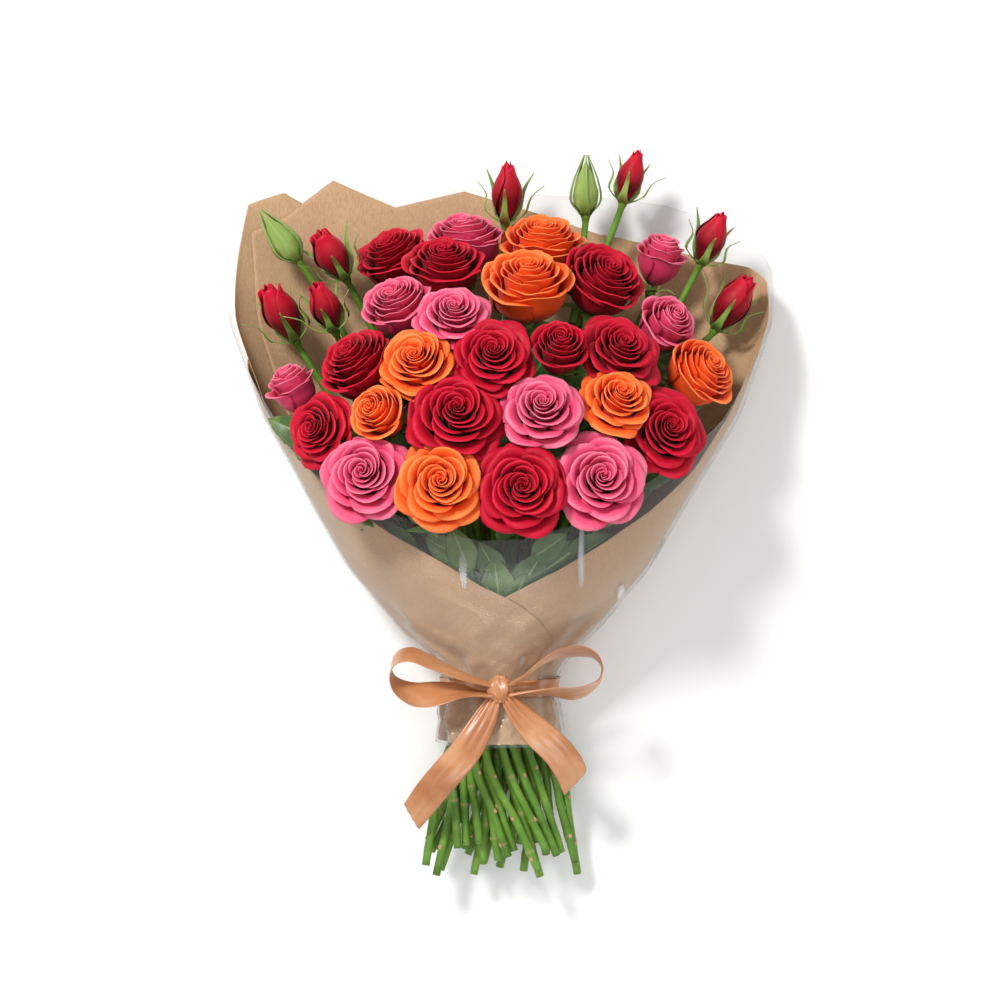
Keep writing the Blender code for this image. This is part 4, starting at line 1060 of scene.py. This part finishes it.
def add_knot(shape):
    """The knot: the ribbon drawn over itself in soft folds."""
    t = np.linspace(0, 1, 22)[:, None]
    turn = np.linspace(0, 2 * math.pi, 40, endpoint=False)[None, :]
    swell = np.sin(math.pi * np.clip(t, 0.06, 0.94)) ** 0.5
    crease = 1 + 0.16 * np.sin(5 * turn + 4 * t) * swell + 0.08 * np.sin(11 * turn - 6 * t)
    x = 9.0 * swell * np.cos(turn) * crease
    z = 89.5 + 7.0 * swell * np.sin(turn) * crease
    y = WAIST_Y + 1 + (t - 0.5) * 19 + 0 * turn
    points = np.stack([x, y, z], -1).reshape(-1, 3)
    index = np.arange(22 * 40).reshape(22, 40)
    nxt = np.roll(index, -1, 1)
    walls = np.stack([index[:-1], nxt[:-1], nxt[1:], index[1:]], -1).reshape(-1, 4)[:, ::-1]
    values = np.stack([t + 0 * turn, np.sin(turn) + 0 * t, 0 * t * turn], -1).reshape(-1, 3)
    shape.add(points, [walls, index[:1], index[-1:, ::-1]], values)


class Nodes:
    """A small helper that wires a material's shader tree."""

    def __init__(self, name):
        self.material = bpy.data.materials.new(name)
        self.material.use_nodes = True
        self.tree = self.material.node_tree
        self.shader = self.tree.nodes["Principled BSDF"]
        self.output = self.tree.nodes["Material Output"]

    def add(self, kind, values=None, **settings):
        node = self.tree.nodes.new(kind)
        for key, value in settings.items():
            setattr(node, key, value)
        for key, value in (values or {}).items():
            self.put(node, key, value)
        return node

    def put(self, node, key, value):
        if isinstance(value, bpy.types.NodeSocket):
            self.tree.links.new(value, node.inputs[key])
        else:
            node.inputs[key].default_value = value

    def value(self, name):
        return self.add("ShaderNodeAttribute", attribute_name=name).outputs["Fac"]

    def noise(self, scale, detail=4.0, roughness=0.55, vector=None, output="Fac"):
        node = self.add("ShaderNodeTexNoise", {"Scale": scale, "Detail": detail, "Roughness": roughness})
        self.put(node, "Vector", vector or self.place())
        return node.outputs[output]

    def place(self):
        return self.add("ShaderNodeTexCoord").outputs["Object"]

    def stretched(self, scale):
        return self.add("ShaderNodeMapping", {"Vector": self.place(), "Scale": scale}).outputs["Vector"]

    def spread(self, value, low, high, to_low=0.0, to_high=1.0):
        node = self.add("ShaderNodeMapRange", {"From Min": low, "From Max": high,
                                               "To Min": to_low, "To Max": to_high})
        self.put(node, "Value", value)
        return node.outputs["Result"]

    def ramp(self, value, stops):
        node = self.add("ShaderNodeValToRGB")
        elements = node.color_ramp.elements
        while len(elements) < len(stops):
            elements.new(0.5)
        for element, (place, colour) in zip(elements, stops):
            element.position = place
            element.color = (*colour, 1)
        self.put(node, "Fac", value)
        return node.outputs["Color"]

    def mix(self, share, first, second, blend="MIX"):
        node = self.add("ShaderNodeMix", data_type="RGBA", blend_type=blend)
        for key, item in (("Factor", share), ("A", first), ("B", second)):
            socket = next(s for s in node.inputs if s.name == key and (key == "Factor" or s.type == "RGBA"))
            if isinstance(item, bpy.types.NodeSocket):
                self.tree.links.new(item, socket)
            else:
                socket.default_value = item if key == "Factor" else (*item, 1)
        return next(s for s in node.outputs if s.type == "RGBA")

    def math(self, operation, *items):
        node = self.add("ShaderNodeMath", operation=operation)
        for k, item in enumerate(items):
            self.put(node, k, item)
        return node.outputs[0]

    def bump(self, height, distance, strength=1.0):
        node = self.add("ShaderNodeBump", {"Strength": strength, "Distance": distance, "Height": height})
        self.tree.links.new(node.outputs["Normal"], self.shader.inputs["Normal"])


# Petal colours from the foot to the rim; the dark foot colours are partly the rose's own and partly painted
# shade of the bloom's depths.
PETALS = {
    "red": [(0.08, 0.0002, 0.003), (0.33, 0.0006, 0.010), (0.52, 0.001, 0.020), (0.70, 0.006, 0.042)],
    "pink": [(0.40, 0.012, 0.045), (0.64, 0.036, 0.115), (0.79, 0.085, 0.190), (0.92, 0.280, 0.390)],
    "orange": [(0.66, 0.030, 0.002), (0.90, 0.080, 0.008), (0.97, 0.150, 0.020), (1.00, 0.320, 0.090)],
}


def petal_material(colour):
    """Velvet petals: darker at the foot and on the inner petals, partly the rose's own deeper colour and
    partly painted shade of the bloom's depths; paler at the thin rolled rim, with fine veins.
    """
    made = Nodes("petals " + colour)
    deep, low, main, rim = PETALS[colour]
    # Darker towards each petal's foot: partly the rose's own colour, partly painted shade deep in the bloom.
    base = made.ramp(made.value("along"), [(0.35, deep), (0.66, low), (0.88, main), (1.0, rim)])
    # Inner petals pulled towards the low colour: partly the rose's own colour, partly painted shade of the
    # bloom's centre.
    inner = made.spread(made.value("mark"), 0.45, 1.0, 0.0, 0.45)
    base = made.mix(inner, base, low)
    tone = made.spread(made.value("tone"), 0, 1, 0.0, 0.30)
    base = made.mix(tone, base, low)
    cloud = made.spread(made.noise(90.0, 5.0), 0.35, 0.7, 0.0, 0.25)
    base = made.mix(cloud, base, main)
    made.put(made.shader, "Base Color", base)
    made.put(made.shader, "Roughness", made.spread(made.noise(160.0), 0.3, 0.7, 0.46, 0.62))
    made.shader.inputs["Specular IOR Level"].default_value = 0.22
    made.shader.inputs["Sheen Weight"].default_value = 0.04 if colour == "red" else 0.08
    made.shader.inputs["Sheen Roughness"].default_value = 0.45
    made.shader.inputs["Subsurface Weight"].default_value = 0.12 if colour != "red" else 0.05
    made.shader.inputs["Subsurface Radius"].default_value = (0.004, 0.0015, 0.0012)
    veins = made.noise(420.0, 3.0, vector=made.stretched((1.0, 1.0, 0.35)))
    made.bump(veins, 0.00018, 0.35)
    return made.material


def green_material():
    """Stems and leaves: mark 0 is a stem, 1 its cut face, 2 a leaf and 3 a sepal."""
    made = Nodes("greens")
    mark, tone, along = made.value("mark"), made.value("tone"), made.value("along")
    patch = made.noise(60.0, 5.0)
    stem = made.ramp(made.math("ADD", made.spread(patch, 0.3, 0.7, 0, 0.6), made.math("MULTIPLY", tone, 0.4)),
                     [(0.0, (0.05, 0.125, 0.010)), (0.5, (0.11, 0.24, 0.022)), (1.0, (0.20, 0.36, 0.050))])
    scar = made.spread(along, 0.35, 0.8)
    stem = made.mix(scar, stem, (0.50, 0.30, 0.16))
    stem = made.mix(made.math("COMPARE", mark, 1.0, 0.3), stem, (0.52, 0.62, 0.30))
    vein = made.spread(along, 0.0, 0.09, 1.0, 0.0)
    leaf = made.ramp(made.math("ADD", made.spread(patch, 0.3, 0.7, 0, 0.5), made.math("MULTIPLY", tone, 0.5)),
                     [(0.0, (0.030, 0.072, 0.016)), (0.6, (0.072, 0.140, 0.034)),
                      (1.0, (0.150, 0.240, 0.070))])
    leaf = made.mix(vein, leaf, (0.24, 0.35, 0.13))
    sepal_colour = made.ramp(tone, [(0.0, (0.14, 0.26, 0.04)), (1.0, (0.30, 0.42, 0.10))])
    is_leaf = made.spread(mark, 1.5, 1.6)
    is_sepal = made.spread(mark, 2.75, 2.8)
    base = made.mix(is_leaf, stem, leaf)
    base = made.mix(is_sepal, base, sepal_colour)
    made.put(made.shader, "Base Color", base)
    made.put(made.shader, "Roughness", made.spread(made.noise(120.0), 0.3, 0.7, 0.36, 0.54))
    made.shader.inputs["Specular IOR Level"].default_value = 0.42
    made.bump(made.noise(500.0, 4.0), 0.0003, 0.4)
    return made.material


def kraft_material():
    """Brown paper with short fibres, faint flecks and soft creases."""
    made = Nodes("kraft paper")
    fibre = made.noise(1500.0, 5.0, 0.65, made.stretched((1.0, 0.16, 1.0)))
    cross = made.noise(1300.0, 5.0, 0.65, made.stretched((0.16, 1.0, 1.0)))
    blotch = made.noise(55.0, 5.0, 0.6)
    base = made.ramp(made.spread(fibre, 0.30, 0.70),
                     [(0.0, (0.40, 0.235, 0.125)), (0.5, (0.50, 0.315, 0.175)), (1.0, (0.58, 0.385, 0.225))])
    base = made.mix(made.spread(cross, 0.45, 0.75, 0, 0.40), base, (0.60, 0.41, 0.25))
    base = made.mix(made.spread(blotch, 0.35, 0.7, 0, 0.22), base, (0.40, 0.245, 0.13))
    fleck = made.noise(2600.0, 2.0)
    base = made.mix(made.spread(fleck, 0.70, 0.76, 0, 0.5), base, (0.26, 0.15, 0.08))
    made.put(made.shader, "Base Color", base)
    made.shader.inputs["Roughness"].default_value = 0.82
    made.shader.inputs["Specular IOR Level"].default_value = 0.25
    crease = made.noise(75.0, 6.0, 0.62)
    height = made.math("ADD", made.math("MULTIPLY", fibre, 0.20), crease)
    made.bump(height, 0.0012, 0.5)
    return made.material


def film_material():
    """Clear film: it shows what it covers and shines where its bumped creases catch the lamps; its white
    slanted streaks are painted glare.
    """
    made = Nodes("clear film")
    made.shader.inputs["Base Color"].default_value = (0.62, 0.64, 0.65, 1)
    made.shader.inputs["Roughness"].default_value = 0.10
    made.shader.inputs["Specular IOR Level"].default_value = 1.0
    crease = made.noise(30.0, 4.0, 0.6, made.stretched((1.0, 0.4, 1.0)))
    made.bump(crease, 0.006, 0.6)
    facing = made.add("ShaderNodeLayerWeight", {"Blend": 0.25}).outputs["Facing"]
    veil = made.spread(made.math("POWER", facing, 2.0), 0.0, 1.0, 0.05, 0.7)
    # Painted glare: slanted noise bands whiten the film's base colour and raise its alpha where lamp
    # highlights would fall on creases.
    slanted = made.add("ShaderNodeMapping", {"Vector": made.place(), "Rotation": (0, 0, math.radians(28)),
                                             "Scale": (70.0, 4.0, 30.0)}).outputs["Vector"]
    painted_glare = made.spread(made.noise(1.0, 1.0, 0.4, slanted), 0.70, 0.80, 0.0, 0.55)
    made.put(made.shader, "Alpha", made.math("ADD", veil, painted_glare))
    made.put(made.shader, "Base Color", made.mix(painted_glare, (0.62, 0.64, 0.65), (0.98, 0.98, 0.98)))
    return made.material


def satin_material():
    """Copper satin with a long soft shine across its fine warp."""
    made = Nodes("satin")
    warp = made.noise(2200.0, 2.0, 0.5, made.stretched((1.0, 0.25, 1.0)))
    shade = made.noise(30.0, 3.0)
    base = made.ramp(made.spread(shade, 0.3, 0.7),
                     [(0.0, (0.42, 0.150, 0.050)), (0.5, (0.55, 0.235, 0.095)), (1.0, (0.66, 0.34, 0.17))])
    edge = made.spread(made.math("ABSOLUTE", made.value("tone"), 0.0), 0.90, 0.97, 0.0, 0.45)
    base = made.mix(edge, base, (0.46, 0.16, 0.055))
    made.put(made.shader, "Base Color", base)
    made.put(made.shader, "Roughness", made.spread(warp, 0.3, 0.7, 0.28, 0.38))
    made.shader.inputs["Specular IOR Level"].default_value = 0.75
    made.shader.inputs["Sheen Weight"].default_value = 0.12
    made.shader.inputs["Sheen Roughness"].default_value = 0.3
    made.bump(warp, 0.0001, 0.3)
    return made.material


def twine_material():
    made = Nodes("twine")
    strand = made.noise(900.0, 4.0)
    made.put(made.shader, "Base Color",
             made.ramp(strand, [(0.3, (0.40, 0.33, 0.20)), (0.7, (0.62, 0.55, 0.38))]))
    made.shader.inputs["Roughness"].default_value = 0.85
    made.bump(strand, 0.0003, 0.6)
    return made.material


def floor_material():
    made = Nodes("floor")
    shade = made.noise(3.0, 2.0)
    made.put(made.shader, "Base Color",
             made.ramp(shade, [(0.3, (0.90, 0.90, 0.89)), (0.7, (0.93, 0.93, 0.92))]))
    made.shader.inputs["Roughness"].default_value = 0.9
    return made.material


def make_camera():
    data = bpy.data.cameras.new("camera")
    data.lens = LENS
    data.sensor_width = SENSOR
    camera = bpy.data.objects.new("camera", data)
    camera.location = Vector(CAMERA_SPOT) * MM
    bpy.context.scene.collection.objects.link(camera)
    bpy.context.scene.camera = camera


def make_light(name, spot, aim, size, power, colour=(1, 1, 1)):
    data = bpy.data.lights.new(name, "AREA")
    data.shape = "RECTANGLE"
    data.size, data.size_y = size
    data.energy = power
    data.color = colour
    light = bpy.data.objects.new(name, data)
    light.location = spot
    light.rotation_euler = (Vector(aim) - Vector(spot)).to_track_quat("-Z", "Y").to_euler()
    bpy.context.scene.collection.objects.link(light)


def make_studio():
    floor = bpy.data.meshes.new("floor")
    reach = 4.0
    floor.from_pydata([(-reach, -reach, 0), (reach, -reach, 0), (reach, reach, 0), (-reach, reach, 0)],
                      [], [(0, 1, 2, 3)])
    floor.materials.append(floor_material())
    plane = bpy.data.objects.new("floor", floor)
    bpy.context.scene.collection.objects.link(plane)
    aim = (0, 0.02, 0.08)
    make_light("key", (-0.75, 0.95, 1.55), aim, (0.35, 0.35), 30)
    make_light("fill", (1.1, 0.1, 1.2), aim, (0.9, 0.9), 4)
    make_light("front", (0.0, -1.2, 1.0), aim, (1.0, 0.5), 6)
    make_light("top", (0.0, 0.2, 2.3), aim, (0.9, 0.9), 5)
    bpy.context.scene.view_settings.view_transform = "Standard"
    world = bpy.data.worlds.new("studio")
    world.use_nodes = True
    world.node_tree.nodes["Background"].inputs["Color"].default_value = (1, 1, 1, 1)
    world.node_tree.nodes["Background"].inputs["Strength"].default_value = 0.42
    bpy.context.scene.world = world


def make_all():
    make_camera()
    make_studio()
    blooms = {row[0]: Bloom(*row) for row in ROSES}
    for bloom in blooms.values():
        for other in blooms.values():
            if other is not bloom:
                bloom.part_from(other)
    petals = {colour: petal_material(colour) for colour in PETALS}
    for bloom in blooms.values():
        make_rose(bloom, petals[bloom.colour])
    make_buds(petals["red"])
    spots = make_greens(blooms, green_material())
    make_tie(spots, twine_material())
    make_wrapper(kraft_material(), film_material())
    ribbon = make_ribbon(satin_material())


make_all()
